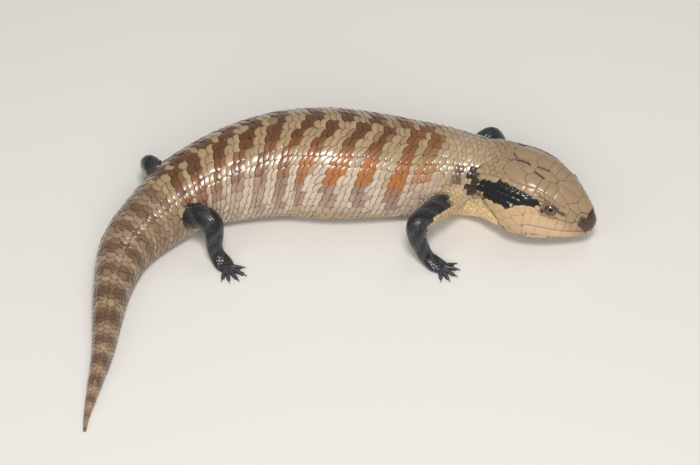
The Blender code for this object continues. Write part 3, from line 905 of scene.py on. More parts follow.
def paint_skin(skin, body, limbs, toes):
    """Give the skin the markings of the nearest form, a little darker than the scales."""
    samples = []
    tones = []
    s, v = body.places()
    samples.append(body.grid[::2, ::2].reshape(-1, 3))
    girth = body.girth_at(s)
    tones.append(skin_tone(s, v * girth)[::2, ::2].reshape(-1, 3))
    for name, form in limbs.items():
        s, v = form.places()
        samples.append(form.grid[::2, ::2].reshape(-1, 3))
        tones.append(limb_tone(name, form, s, v)[::2, ::2].reshape(-1, 3))
        for toe in toes[name]:
            samples.append(toe.grid[::2, ::2].reshape(-1, 3))
            tones.append(np.repeat(SLATE[None], len(samples[-1]), axis=0))
    samples = np.concatenate(samples)
    tones = np.concatenate(tones)
    tree = KDTree(len(samples))
    for number, point in enumerate(samples):
        tree.insert(point, number)
    tree.balance()
    points = mesh_points(skin.data)
    nearest = [tree.find(point)[1] for point in points]
    colours = tones[nearest]
    paint(skin.data, colours * 0.5 + SEAM * 0.12)
    return tree, tones


# Scale sizes along the body: distance behind the snout, spacing along, width of a row
BODY_SCALES = ((43.0, 2.5, 3.0), (62.0, 2.6, 3.0), (85.0, 2.8, 3.6), (108.0, 3.4, 4.9),
               (200.0, 3.55, 5.1), (262.0, 3.4, 4.9), (300.0, 3.3, 4.6), (340.0, 3.0, 3.8),
               (380.0, 2.4, 2.7), (417.0, 1.5, 1.6))
LONG_PER_SPACING = 1.95
WIDE_PER_ROW = 1.36
LOW_WIDE_PER_ROW = 1.5
BODY_LIFT = 0.74
FLANK_SLANT = 0.52
COAT_PARTS = (("coat_neck", 43.0, 118.0), ("coat_trunk_front", 118.0, 166.0),
              ("coat_trunk_middle", 166.0, 214.0), ("coat_trunk_rear", 214.0, 262.0),
              ("coat_tail_base", 262.0, 325.0), ("coat_tail", 325.0, 416.0))


def row_place(share):
    """Share of the half girth that a share of the scale rows takes: rows narrow downwards."""
    return share * (1.32 - share * (0.62 - 0.30 * share))


def body_lattice(form, start, end):
    """Places of the body's scales in lengthwise rows, each half a scale off the next."""
    known = np.array(BODY_SCALES)
    places = []
    s = start
    count = 0
    odd = 0
    while s < end:
        spacing = np.interp(s, known[:, 0], known[:, 1])
        row = np.interp(s, known[:, 0], known[:, 2])
        wanted = form.girth_at(s) / row
        if abs(wanted - count) > 0.75:
            count = max(3, round(wanted))
        for number in range(count):
            line = (2 * number + odd + 0.5) / count - 1.0
            share = abs(line)
            middle = math.copysign(row_place(share), line)
            width = row_place(min(share + 0.5 / count, 1.0)) - row_place(max(share - 0.5 / count, 0.0))
            places.append((s, middle, spacing, width * form.girth_at(s)))
        s += 0.5 * spacing
        odd = 1 - odd
    return np.array(places)


def staggered_rings(form, sizes, start, end):
    """Places of a staggered lattice of scales, with its spacings at each place."""
    known = np.array(sizes)
    places = []
    s = start
    count = 0
    odd = 0
    while s < end:
        spacing = np.interp(s, known[:, 0], known[:, 1])
        row = np.interp(s, known[:, 0], known[:, 2])
        wanted = form.girth_at(s) / row
        if abs(wanted - count) > 1.3:
            count = max(3, round(wanted))
        for number in range(count):
            v = (number + 0.5 * odd) * 2.0 / count - 1.0
            places.append((s, v, spacing, form.girth_at(s) / count))
        s += 0.5 * spacing
        odd = 1 - odd
    return np.array(places)


def body_coats(skin, body, rng, covered):
    """The coat of neck, trunk and tail, in a few lengths."""
    coats = []
    s, v, spacing, row = body_lattice(body, COAT_PARTS[0][1], COAT_PARTS[-1][2]).T
    heights = skin_heights(skin, body, s, v, 12.0)
    depth = np.interp(s, (60.0, 80.0, 380.0, 417.0), (HEAD_DEPTH, BODY_DEPTH, BODY_DEPTH, 0.35))
    raised = np.clip(heights + depth, 0.0, None)
    arc = v * body.girth_at(s)
    kept = (raised < 1.1) & (s > head_end(arc))
    kept &= way_from(CREASE, s, np.abs(arc)) > 2.2 * fade(np.abs(arc), 22.0, 32.0)
    lift = BODY_LIFT * np.interp(s, (62.0, 90.0, 330.0, 417.0), (0.65, 1.0, 0.9, 0.4))
    long = LONG_PER_SPACING * spacing
    tones = body_tone(s + 0.22 * long, arc)
    down = np.abs(arc)
    wide = row * (WIDE_PER_ROW + (LOW_WIDE_PER_ROW - WIDE_PER_ROW) * fade(down, 26.0, 40.0))
    aside = arc - back_middle(s)
    slant = fade(np.abs(aside), 1.0, 10.0) * (1.0 - 0.65 * fade(down, 34.0, 50.0))
    slant = FLANK_SLANT * np.sign(aside) * slant * (1.0 - 0.4 * fade(s, 180.0, 230.0))
    slant = slant * (1.0 - fade(s, 250.0, 280.0)) * fade(s, 84.0, 108.0)
    covered.add(body.at(s[kept], v[kept]), 0.5 * row[kept])
    for name, start, end in COAT_PARTS:
        here = kept & (s >= start) & (s < end)
        coat = Coat(name, "body_skin")
        share = 0.98 / (end - start)
        box = ((0.01 - share * start, 0.01), (share * body.length, 0.98))
        lay_scales(
            coat, body, s[here], v[here], long[here], wide[here], tones[here],
            depth[here, None], lift[here, None], rng, box, raised[here], slant=slant[here],
            edge=0.42 - 0.24 * fade(s[here], 84.0, 112.0),
        )
        coats.append(coat)
    return coats


class Covered:
    """Where scales already lie: points in millimetres, each with a radius."""

    def __init__(self):
        self.points = []
        self.radii = []

    def add(self, points, radii):
        """Note more places that are covered."""
        self.points.append(np.asarray(points).reshape(-1, 3))
        self.radii.append(np.broadcast_to(radii, (len(self.points[-1]),)))

    def tree(self):
        """A tree of the covered places, and their radii."""
        points = np.concatenate(self.points)
        tree = KDTree(len(points))
        for number, point in enumerate(points):
            tree.insert(point, number)
        tree.balance()
        return tree, np.concatenate(self.radii)


# The last scale of a toe, round the claw's root: distance past the toe's end and radius
TOE_CAP = ((-1.3, 0.8), (-0.9, 1.12), (-0.2, 1.1), (0.35, 0.92), (0.7, 0.68), (0.6, 0.5))
CAP_AROUND = 16


def toe_end(toe):
    """The end of a toe's centre line, the way it points, and its ways across and up."""
    end = toe.grid[-1].mean(axis=0)
    way = unit(end - toe.grid[0].mean(axis=0))
    way = unit(way * np.array((1.0, 1.0, 0.0)))
    up = np.array((0.0, 0.0, 1.0))
    return end, way, np.cross(up, way), up


def cap_toe(coat, toe, box, rng):
    """A closed scale round the end of a toe."""
    end, way, across, up = toe_end(toe)
    turn = np.arange(CAP_AROUND) * 2.0 * math.pi / CAP_AROUND
    rings = [
        end + way * past + radius * (np.cos(turn)[:, None] * across + np.sin(turn)[:, None] * up)
        for past, radius in TOE_CAP
    ]
    points = np.concatenate(rings + [(end + way * TOE_CAP[0][0])[None], (end + way * 0.5)[None]])
    rim = np.repeat((0.3, 0.6, 1.0, 1.0, 0.6, 0.3), CAP_AROUND)
    rim = np.concatenate((rim, (0.0, 0.3)))[:, None]
    colours = SLATE * rng.uniform(0.85, 1.05) * (0.4 + 0.6 * rim)
    low, span = box
    root = np.array((low[0] + span[0], low[1] + span[1] * 0.5))
    spread = np.stack(((points - end) @ way, (points - end) @ across), axis=1)
    patches = root + spread * 0.0012
    coat.add(points[None], ring_faces(len(TOE_CAP), CAP_AROUND), colours[None], patches[None])


# A claw: distance past the toe's end, height over it and radius
CLAW = ((0.1, 0.05, 0.58), (0.7, 0.2, 0.62), (1.3, 0.28, 0.52), (1.9, 0.22, 0.4), (2.5, 0.02, 0.27),
        (2.95, -0.25, 0.15), (3.2, -0.5, 0.05))
CLAW_AROUND = 14


def build_claws(toes, material):
    """Curved horn claws, narrower than high, in one piece that stands for the solids."""
    claws = Coat("claws", "claw")
    turn = np.arange(CLAW_AROUND) * 2.0 * math.pi / CLAW_AROUND
    for row, forms in enumerate(toes.values()):
        for column, toe in enumerate(forms):
            end, way, across, up = toe_end(toe)
            rings = [
                end + way * past + up * rise
                + radius * (0.78 * np.cos(turn)[:, None] * across + np.sin(turn)[:, None] * up)
                for past, rise, radius in CLAW
            ]
            first = end + way * CLAW[0][0]
            last = end + way * (CLAW[-1][0] + 0.05) + up * (CLAW[-1][1] - 0.03)
            points = np.concatenate(rings + [first[None], last[None]])
            colours = np.full((1, len(points), 3), 0.04)
            spread = np.stack(((points - end) @ way, (points - end) @ across), axis=1)
            root = np.array((0.1 + 0.2 * column, 0.12 + 0.25 * row))
            patches = root + spread[None] * 0.0015
            claws.add(points[None], ring_faces(len(CLAW), CLAW_AROUND), colours, patches)
    thing = claws.build(material)
    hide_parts(*(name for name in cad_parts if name.startswith("claw")))


def limb_coats(skin, limbs, toes, rng, covered):
    """The coat of each limb and its toes."""
    coats = []
    for name, form in limbs.items():
        coat = Coat(f"coat_{name}", "limb_skin")
        sizes = ((0.0, 2.7, 2.9), (form.length * 0.5, 2.5, 2.6), (form.length, 2.0, 2.1))
        s, v, spacing, row = staggered_rings(form, sizes, 2.0, form.length - 0.6).T
        heights = skin_heights(skin, form, s, v, 6.0)
        raised = np.clip(heights + LIMB_DEPTH, 0.0, None)
        kept = raised < 0.8
        tones = limb_tone(name, form, s, v)
        box = ((0.01, 0.01), (0.6, 0.98))
        lay_scales(
            coat, form, s[kept], v[kept], 1.8 * spacing[kept], 1.34 * row[kept],
            tones[kept], LIMB_DEPTH, 0.5, rng, box, raised[kept],
        )
        covered.add(form.at(s[kept], v[kept]), 0.62 * np.minimum(spacing, row)[kept])
        for number, toe in enumerate(toes[name]):
            sizes = ((0.0, 1.5, 1.7), (toe.length, 1.2, 1.3))
            s, v, spacing, row = staggered_rings(toe, sizes, 1.5, toe.length - 0.2).T
            box = ((0.65, 0.02 + 0.19 * number), (0.3, 0.18))
            tones = np.repeat(SLATE[None], len(s), axis=0)
            lay_scales(
                coat, toe, s, v, 1.8 * spacing, 1.34 * row, tones, TOE_DEPTH, 0.3, rng, box,
            )
            covered.add(toe.at(s, v), 0.9)
            cap_toe(coat, toe, box, rng)
        coats.append(coat)
    return coats


# Head shields, as corners behind the snout and beside the crown's middle; neighbours
# share their corners
MEDIAN_SHIELDS = {
    "frontonasal": ((3.6, 0.0), (4.0, 2.6), (7.2, 5.9), (9.2, 5.3), (10.5, 3.2), (10.8, 0.0)),
    "frontal": ((24.6, 0.0), (25.2, 1.3), (31.6, 3.7), (39.0, 2.4), (39.5, 0.0)),
    "interparietal": ((43.2, 0.0), (45.6, 2.3), (49.7, 2.3), (52.6, 0.9), (52.6, 0.0)),
}
PAIRED_SHIELDS = {
    "prefrontal": ((10.8, 0.0), (10.5, 3.2), (14.7, 8.6), (18.7, 6.2), (22.6, 3.6), (24.9, 1.2),
                   (24.6, 0.0)),
    "postnasal": ((7.2, 5.9), (9.2, 5.3), (10.5, 3.2), (14.7, 8.6), (12.7, 9.8), (8.2, 8.8)),
    "nasal": ((3.9, 2.8), (7.1, 6.0), (8.1, 8.8), (8.7, 12.9), (5.8, 12.1), (3.0, 7.2)),
    "loreal_1": ((8.2, 8.9), (12.7, 9.8), (12.9, 17.9), (9.4, 15.7), (8.8, 12.9)),
    "loreal_2": ((12.7, 9.8), (14.7, 8.6), (15.5, 11.7), (17.6, 14.0), (18.4, 16.4), (18.4, 19.6),
                 (16.5, 20.0), (12.9, 17.9)),
    "supraocular_1": ((14.7, 8.6), (18.7, 6.2), (22.6, 3.6), (22.6, 12.2), (18.4, 12.5), (15.5, 11.7)),
    "supraocular_2": ((22.6, 3.6), (24.9, 1.4), (28.0, 2.4), (28.1, 12.2), (22.6, 12.2)),
    "supraocular_3": ((28.0, 2.4), (31.6, 3.7), (32.9, 3.6), (33.0, 12.4), (28.1, 12.2)),
    "supraocular_4": ((32.9, 3.6), (39.0, 2.4), (41.3, 5.8), (42.1, 8.0), (39.1, 13.9), (33.0, 12.4)),
    "frontoparietal": ((39.5, 0.0), (39.0, 2.4), (41.3, 5.8), (46.7, 4.8), (45.6, 2.3), (43.2, 0.0)),
    "parietal": ((46.7, 4.8), (41.3, 5.8), (42.1, 8.0), (39.1, 13.9), (45.0, 15.2), (51.5, 14.2),
                 (56.0, 10.4), (56.6, 5.0), (52.7, 1.0), (49.7, 2.3), (45.6, 2.3)),
}
LIP_CUTS = (1.8, 6.4, 9.5, 12.6, 16.5, 21.0, 25.6, 30.0, 34.0)
LIP_TOP = ((1.8, 5.4), (3.0, 7.2), (5.8, 12.1), (8.8, 13.2), (9.4, 15.8), (12.9, 18.0), (16.5, 20.1),
           (19.0, 22.6), (25.6, 25.0), (30.0, 26.6), (34.0, 29.0))
JAW_CUTS = (1.8, 7.6, 13.2, 19.4, 26.0, 33.0)
BROW_CUTS = (15.6, 18.4, 21.3, 24.2, 27.1, 30.0, 33.0)
BROW_TOP = ((15.5, 11.7), (18.4, 12.5), (22.6, 12.2), (28.1, 12.2), (33.0, 12.4))
BROW_LOW = ((15.6, 13.2), (18.4, 14.6), (22.0, 14.9), (28.0, 14.9), (33.0, 15.6))
TEMPLE_CUTS = (33.2, 38.8, 44.2, 49.6, 54.4)
TEMPLE_TOP = ((33.0, 12.4), (39.1, 13.9), (45.0, 15.2), (51.5, 14.2), (56.0, 10.4))

# Each kind of shield: gap to its neighbours, thickness, and how much of the shield's
# own colour its seams keep
CROWN_PLATE = (0.05, 0.5, 0.5)
LIP_PLATE = (0.06, 0.42, 0.5)
SOFT_PLATE = (0.04, 0.4, 0.72)
FAINT_PLATE = (0.03, 0.4, 0.85)


def shifted(corners):
    """Corners moved with the crown's middle line."""
    s, arc = np.array(corners, float).T
    return np.stack((s, arc + crown_shift(s, arc)), axis=1)


def strip_shields(cuts, top, low):
    """Corners of the plates of a strip between two lines, one for each pair of cuts."""
    plates = []
    for start, end in zip(cuts, cuts[1:]):
        middle = 0.5 * (start + end)
        plates.append((
            (start, top(start)), (start, low(start)), (middle, low(middle)),
            (end, low(end)), (end, top(end)), (middle, top(middle)),
        ))
    return plates


def head_shields():
    """Every shield's corners and kind, on both sides of the head."""
    plates = []
    for half in MEDIAN_SHIELDS.values():
        other = [(s, -arc) for s, arc in reversed(half) if arc > 0.0]
        plates.append((shifted(list(half) + other), CROWN_PLATE))
    pairs = [(corners, CROWN_PLATE) for corners in PAIRED_SHIELDS.values()]
    mouth = MOUTH_LINE
    lips = strip_shields(
        LIP_CUTS, lambda s: line_value(LIP_TOP, s), lambda s: line_value(mouth, s) - 0.2
    )
    pairs += [(corners, LIP_PLATE if corners[0][0] < 16.0 else FAINT_PLATE) for corners in lips]
    jaws = strip_shields(
        JAW_CUTS,
        lambda s: line_value(mouth, s) + 0.2,
        lambda s: line_value(mouth, s) + np.interp(s, (1.8, 10.0, 33.0), (3.2, 5.0, 5.4)),
    )
    pairs += [(corners, FAINT_PLATE) for corners in jaws]
    soft = strip_shields(
        BROW_CUTS, lambda s: line_value(BROW_TOP, s), lambda s: line_value(BROW_LOW, s)
    )
    soft += strip_shields(
        TEMPLE_CUTS,
        lambda s: line_value(TEMPLE_TOP, s),
        lambda s: line_value(STREAK_TOP, s) - 0.1,
    )
    pairs += [(corners, SOFT_PLATE) for corners in soft]
    for corners, kind in pairs:
        plates.append((shifted(corners), kind))
        plates.append((shifted([(s, -arc) for s, arc in corners]), kind))
    return plates


def rounded_outline(corners, step, rounding):
    """A closed outline through corners, rounded and evenly spaced, turning one way."""
    corners = np.array(corners, float)
    x, y = corners.T
    if (x * np.roll(y, -1) - np.roll(x, -1) * y).sum() < 0.0:
        corners = corners[::-1]
    closed = np.vstack((corners, corners[:1]))
    lengths = np.linalg.norm(np.diff(closed, axis=0), axis=1)
    distance = np.concatenate(([0.0], np.cumsum(lengths)))
    fine = np.arange(0.0, distance[-1], 0.1)
    points = np.stack([np.interp(fine, distance, closed[:, axis]) for axis in (0, 1)], axis=1)
    window = max(1, round(rounding / 0.1))
    total = sum(np.roll(points, shift, axis=0) for shift in range(-window, window + 1))
    points = total / (2 * window + 1)
    count = max(14, round(distance[-1] / step))
    chosen = np.round(np.arange(count) * len(points) / count).astype(int) % len(points)
    return points[chosen]


def inward(outline, distance):
    """An outline moved inwards by a distance."""
    way = np.roll(outline, -1, axis=0) - np.roll(outline, 1, axis=0)
    normal = unit(np.stack((-way[:, 1], way[:, 0]), axis=1))
    return outline + normal * distance


# Rings of a shield: how far inside its edge, level from its root up to its crown, and
# how much of its full colour it shows
SHIELD_RINGS = ((0.0, -1.0, 0.0), (0.0, 0.72, 0.0), (0.1, 0.9, 0.55), (0.28, 1.0, 1.0))
SHIELD_INSIDE = (0.35, 0.7)


def lay_shield(coat, form, corners, kind, rng, covered, plain=False):
    """One shield bent to the head, with a rounded rim and a slightly domed face."""
    gap, thick, kept = kind
    outline = inward(rounded_outline(corners, 0.6, 0.3), gap / 2)
    centre = outline.mean(axis=0)
    reach = np.linalg.norm(outline - centre, axis=1, keepdims=True)
    rings = []
    levels = []
    rims = []
    domes = []
    for distance, level, rim in SHIELD_RINGS:
        share = np.minimum(distance / reach, 0.4)
        rings.append(outline + (centre - outline) * share)
        levels.append(level)
        rims.append(rim)
        domes.append(0.0)
    for share in SHIELD_INSIDE:
        rings.append(rings[3] + (centre - rings[3]) * share)
        levels.append(1.0)
        rims.append(1.0)
        domes.append(1.0 - (1.0 - share) ** 2)
    count = len(outline)
    flat = np.concatenate(rings + [centre[None], centre[None]])
    level = np.concatenate((np.repeat(levels, count), (-1.0, 1.0)))
    rim = np.concatenate((np.repeat(rims, count), (0.0, 1.0)))
    dome = np.concatenate((np.repeat(domes, count), (0.0, 1.0)))
    s = np.maximum(flat[:, 0], 0.0)
    arc = flat[:, 1]
    size = min(np.ptp(outline[:, 0]), np.ptp(outline[:, 1]))
    height = np.where(level < 0.0, -0.35, thick * level + 0.03 * size * dome)
    points = form.at(s, arc / form.girth_at(s), height - HEAD_DEPTH)
    bright = rng.uniform(0.95, 1.04) * rng.uniform(0.985, 1.015, 3)
    middle_s, middle_arc = centre
    full = (head_tone(middle_s, middle_arc) if plain else head_tone(s, arc)) * bright
    seam = full * kept + SEAM * 0.1
    colours = seam + (full - seam) * rim[:, None]
    patches = np.stack((0.02 + 0.96 * s / 72.0, 0.5 + arc / 170.0), axis=1)
    coat.add(points[None], ring_faces(len(rings), count), colours[None], patches[None])
    covered.add(points, 0.75)
    return outline


def inside_any(outlines, s, arc, margin):
    """Which places lie inside any outline or within a margin of its edge."""
    found = np.zeros(len(s), bool)
    for outline in outlines:
        low = outline.min(axis=0) - margin
        high = outline.max(axis=0) + margin
        near = (s > low[0]) & (s < high[0]) & (arc > low[1]) & (arc < high[1]) & ~found
        index = np.flatnonzero(near)
        if len(index) == 0:
            continue
        x, y = s[index], arc[index]
        x0, y0 = outline.T
        x1, y1 = np.roll(outline, -1, axis=0).T
        between = (y0 > y[:, None]) != (y1 > y[:, None])
        crossing = x0 + (y[:, None] - y0) * (x1 - x0) / np.where(y1 == y0, 1e-9, y1 - y0)
        within = (between & (x[:, None] < crossing)).sum(axis=1) % 2 == 1
        close = np.hypot(x[:, None] - x0, y[:, None] - y0).min(axis=1) < margin
        found[index] = within | close
    return found


# Overlapping scales behind the shields in each zone: spacing along, row width, how far
# the free edge lifts as a share of the smaller, dome, and colour kept at the rim
HEAD_ZONES = {
    "nape": (4.4, 2.9, 0.13, 0.35, 0.45),
    "temple": (3.9, 3.5, 0.14, 1.0, 0.3),
    "throat": (3.9, 3.3, 0.12, 0.3, 0.5),
}

# Flat plates that fill the face and cheek edge to edge: spacing along and row width, and
# how much longer than wide they all are
PLATE_ZONES = {"face": (4.2, 2.4), "cheek": (8.8, 3.4)}
PLATE_STRETCH = np.array((1.7, 1.0))
EYE_HOLE = (23.4, 5.3, 4.8)
SMALLEST_PLATE = 1.2


def head_zone(s, arc):
    """Which zone of small scales each place of the head is in."""
    down = np.abs(arc)
    zone = np.full(len(s), "throat", dtype="<U8")
    zone[(s > 30.0) & (down > line_value(STREAK_LOW, s)) & (down < 45.0)] = "cheek"
    zone[(down <= line_value(STREAK_LOW, s)) & (s > 27.0)] = "temple"
    zone[(down < 17.0) & (s > 50.0)] = "nape"
    zone[(s < 33.0) & (down < line_value(MOUTH_LINE, s) + 2.0)] = "face"
    zone[(s < 3.4) & (down < line_value(MOUTH_LINE, s) + 2.0)] = "none"
    return zone


def zone_places(body, zone, spacing, row):
    """Places of a zone's scales or plates, a staggered lattice cut at the zone's edge."""
    sizes = ((0.0, spacing, row), (72.0, spacing, row))
    s, v, along, across = staggered_rings(body, sizes, 0.6, 71.5).T
    arc = v * body.girth_at(s)
    edge = head_end(arc) - 0.3
    kept = (head_zone(s, arc) == zone) & (s < edge) & (s < edge - 1.2 * fade(np.abs(arc), 10.0, 14.0))
    return np.stack((s, arc, along, across), axis=1)[kept]


def clip_polygon(polygon, point, normal):
    """The part of a polygon on the near side of a line through a point."""
    away = (polygon - point) @ normal
    corners = []
    for number, corner in enumerate(polygon):
        after = (number + 1) % len(polygon)
        if away[number] <= 0.0:
            corners.append(corner)
        if (away[number] <= 0.0) != (away[after] <= 0.0):
            part = away[number] / (away[number] - away[after])
            corners.append(corner + part * (polygon[after] - corner))
    return np.array(corners).reshape(-1, 2)


def nearest_on(outline, place):
    """The point of a closed outline that is nearest to a place."""
    ways = np.roll(outline, -1, axis=0) - outline
    part = ((place - outline) * ways).sum(axis=1) / (ways * ways).sum(axis=1)
    points = outline + np.clip(part, 0.0, 1.0)[:, None] * ways
    return points[np.argmin(np.linalg.norm(points - place, axis=1))]


def polygon_area(polygon):
    """Area of a polygon, whichever way it turns."""
    x, y = polygon.T
    return abs((x * np.roll(y, -1) - np.roll(x, -1) * y).sum()) / 2.0


def open_edges():
    """Outlines that plates stop at: the eye holes and the neck."""
    turn = np.linspace(0.0, 2.0 * math.pi, 48, endpoint=False)
    middle, half_long, half_high = EYE_HOLE
    edges = []
    for side in (-1, 1):
        across = side * EYE_ARC + half_high * np.sin(turn)
        edges.append(np.stack((middle + half_long * np.cos(turn), across), axis=1))
    arc = np.linspace(-60.0, 60.0, 81)
    neck = np.stack((head_end(arc) - 0.5, arc), axis=1)
    edges.append(np.vstack((neck, ((90.0, 60.0), (90.0, -60.0)))))
    return edges


def fill_plates(coat, body, outlines, rng, covered):
    """Plates that meet edge to edge over the face and cheeks, wherever no shield lies."""
    seeds = []
    for zone, (spacing, row) in PLATE_ZONES.items():
        found = zone_places(body, zone, spacing, row)[:, :2]
        found = found[~inside_any(outlines, *found.T, 0.3 * row)]
        seeds.append(found + rng.normal(0.0, 0.05, found.shape) * (spacing, row))
    wanted = sum(len(found) for found in seeds)
    for zone, sizes in HEAD_ZONES.items():
        found = zone_places(body, zone, *sizes[:2])[:, :2]
        seeds.append(found[~inside_any(outlines, *found.T, 0.3 * sizes[1])])
    seeds = np.concatenate(seeds)
    edges = open_edges()
    blocked = inside_any(edges, *seeds.T, 0.5)
    reach = 3.6
    for number in np.flatnonzero(~blocked[:wanted]):
        offsets = (seeds - seeds[number]) / PLATE_STRETCH
        distance = np.linalg.norm(offsets, axis=1)
        polygon = np.array(((-reach, -reach), (reach, -reach), (reach, reach), (-reach, reach)))
        for other in np.flatnonzero((distance > 0.05) & (distance < 2.0 * reach)):
            polygon = clip_polygon(polygon, 0.5 * offsets[other], offsets[other])
        polygon = polygon * PLATE_STRETCH + seeds[number]
        for outline in outlines + edges:
            nearest = nearest_on(outline, seeds[number])
            if len(polygon) > 2 and np.linalg.norm(nearest - seeds[number]) < 2.0 * reach:
                polygon = clip_polygon(polygon, nearest, nearest - seeds[number])
        if len(polygon) > 2 and polygon_area(polygon) > SMALLEST_PLATE:
            lay_shield(coat, body, polygon, SOFT_PLATE, rng, covered, plain=True)


def head_fill(coat, body, outlines, rng, covered):
    """Overlapping scales on the nape, temple and throat."""
    for zone, (spacing, row, lift, dome, edge) in HEAD_ZONES.items():
        s, arc, along, across = zone_places(body, zone, spacing, row).T
        kept = ~inside_any(outlines, s, arc, 0.3 * min(spacing, row))
        room = 1.2 * fade(np.abs(arc), 13.0, 15.0) + fade(np.abs(arc), 26.0, 34.0)
        kept &= way_from(CREASE, s, np.abs(arc)) > room
        s, arc, along, across = (values[kept] for values in (s, arc, along, across))
        v = arc / body.girth_at(s)
        tones = head_tone(s, arc)
        box = ((0.02, 0.02), (0.96 * body.length / 72.0, 0.96))
        lay_scales(
            coat, body, s, v, 1.6 * along, 1.25 * across, tones, HEAD_DEPTH + 0.02,
            lift * min(spacing, row), rng, box, dome=dome, edge=edge,
        )
        covered.add(body.at(s, v), 0.6 * min(spacing, row))


# A nostril: reach of each of its rings, their height over the skin, and whether they
# show the snout's colour or the painted shade of its opening
NOSTRIL = (5.0, 8.6)
NOSTRIL_RINGS = ((1.15, 0.2, 0.6), (1.05, 0.66, 1.0), (0.85, 0.8, 1.0), (0.68, 0.78, 0.5),
                 (0.55, 0.64, 0.0))


def lay_nostril(coat, body, side):
    """A raised ring round a nostril in the nasal shield, its opening painted dark as painted shade."""
    around = 20
    turn = np.arange(around) * 2.0 * math.pi / around
    s = np.array([NOSTRIL[0]])
    v = side * NOSTRIL[1] / body.girth_at(s)
    middle = body.at(s, v, -HEAD_DEPTH)[0]
    normal = body.normal_at(s, v)[0]
    ahead = unit(np.cross(normal, np.array((0.0, 0.0, 1.0)))) * side
    up = np.cross(ahead, normal)
    ring = 1.15 * np.cos(turn)[:, None] * ahead + np.sin(turn)[:, None] * up
    points = [middle + reach * ring + normal * height for reach, height, _ in NOSTRIL_RINGS]
    points = np.concatenate(points + [(middle + normal * height)[None] for height in (0.2, 0.62)])
    rim = np.concatenate((np.repeat([r[2] for r in NOSTRIL_RINGS], around), (0.3, 0.0)))
    full = head_tone(*NOSTRIL) * 1.05
    # Painted shade: the inner rings and middle are dark, standing in for the shadow inside the hole.
    colours = blend(np.broadcast_to(BLACK * 0.3, points.shape), full, rim)
    spread = np.stack(((points - middle) @ ahead, (points - middle) @ up), axis=1)
    patches = np.array((0.02 + 0.96 * s[0] / 72.0, 0.5 + side * NOSTRIL[1] / 170.0)) + spread * 0.001
    faces = ring_faces(len(NOSTRIL_RINGS), around)
    if np.dot(np.cross(ring[0], ring[5]), normal) < 0.0:
        faces = [face[:, ::-1] for face in faces]
    coat.add(points[None], faces, colours[None], patches[None])


GRANULE = 1.7
GRANULE_AROUND = 12
GRANULE_COATS = ("coat_granules_rear", "coat_granules_middle", "coat_granules_front")


def bare_places(skin, covered, rng):
    """Places, spread evenly, where the skin still lies bare, and the skin's ways out there."""
    points = mesh_points(skin.data)
    normals = np.empty(len(points) * 3)
    skin.data.vertices.foreach_get("normal", normals)
    normals = normals.reshape(-1, 3)
    tree, radii = covered.tree()
    order = rng.permutation(len(points))
    reach = float(radii.max()) + GRANULE
    chosen = []
    for number in order:
        point = points[number]
        if point[2] < 0.7 or eye_distance(point) < EYE_RADIUS + 2.2:
            continue
        near = tree.find_range(point, reach)
        if all(distance > radii[index] + 0.15 * GRANULE for _, index, distance in near):
            chosen.append(number)
    picked = []
    cells = {}
    for number in chosen:
        key = tuple((points[number] / GRANULE).astype(int))
        around = [
            cells.get((key[0] + i, key[1] + j, key[2] + k), ())
            for i in (-1, 0, 1) for j in (-1, 0, 1) for k in (-1, 0, 1)
        ]
        if any(math.dist(points[number], points[other]) < 0.8 * GRANULE for a in around for other in a):
            continue
        cells.setdefault(key, []).append(number)
        picked.append(number)
    return points[picked], unit(normals[picked])


def granule_coat(name, places, normal, markings, box, rng):
    """Tiny granular scales, as round the limbs' roots."""
    coat = Coat(name, "body_skin")
    a, b, level, inner, rim = scale_shape(GRANULE_AROUND)
    centre = places[:, None, :]
    way = unit(np.cross(normal, np.array((0.3, 0.2, 1.0))))
    side = np.cross(normal, way)
    height = np.where(level < 0.0, -0.3, 0.3 * level + 0.12 * inner)
    place = (
        centre + way[:, None, :] * (0.5 * GRANULE * 1.25 * a)[None, :, None]
        - side[:, None, :] * (0.5 * GRANULE * 1.25 * b)[None, :, None]
        + normal[:, None, :] * height[None, :, None]
    )
    tree, tones = markings
    tone_here = np.array([tones[tree.find(point)[1]] for point in places])
    full = tone_here[:, None, :] * rng.uniform(0.9, 1.08, (len(places), 1, 1))
    seam = full * 0.45 + SEAM * 0.12
    colours = seam + (full - seam) * rim[None, :, None]
    low, span = box
    root = (places - low) / span
    patches = 0.01 + 0.98 * root[:, None, :2] + np.stack((a, b), axis=1)[None] * 0.5 * PATCH
    coat.add(place, ring_faces(len(SCALE_RINGS), GRANULE_AROUND), colours, patches)
    return coat


def granule_coats(skin, markings, covered, rng):
    """The granular scales in a few coats, from the tail forwards."""
    places, normals = bare_places(skin, covered, rng)
    box = places.min(axis=0), np.ptp(places, axis=0)
    parts = np.array_split(np.argsort(places[:, 0]), len(GRANULE_COATS))
    return [
        granule_coat(name, places[part], normals[part], markings, box, rng)
        for name, part in zip(GRANULE_COATS, parts)
    ]


def head_point(back, side, height):
    """A point in millimetres by its distance behind the snout, its side and height."""
    heading = math.radians(HEAD_HEADING)
    x = HEAD_TIP[0] - math.cos(heading) * back - math.sin(heading) * side
    y = HEAD_TIP[1] - math.sin(heading) * back + math.cos(heading) * side
    return np.array((x - ORIGIN_X, y - ORIGIN_Y, height))


def eye_centre(side):
    """Middle of the right eye (-1) or the left eye (+1)."""
    lean = math.tan(math.radians(HEAD_ROLL)) * side * EYE_SIDE
    return head_point(EYE_BACK, side * EYE_SIDE, EYE_HEIGHT + lean)


def eye_distance(point):
    """Distance from the nearer eye's middle."""
    return min(math.dist(point, eye_centre(side)) for side in (-1, 1))


PUPIL_RADIUS = 1.25
IRIS_RADIUS = 2.75
EYE_OPENING = (3.35, 2.75)
LID_BEADS = 13


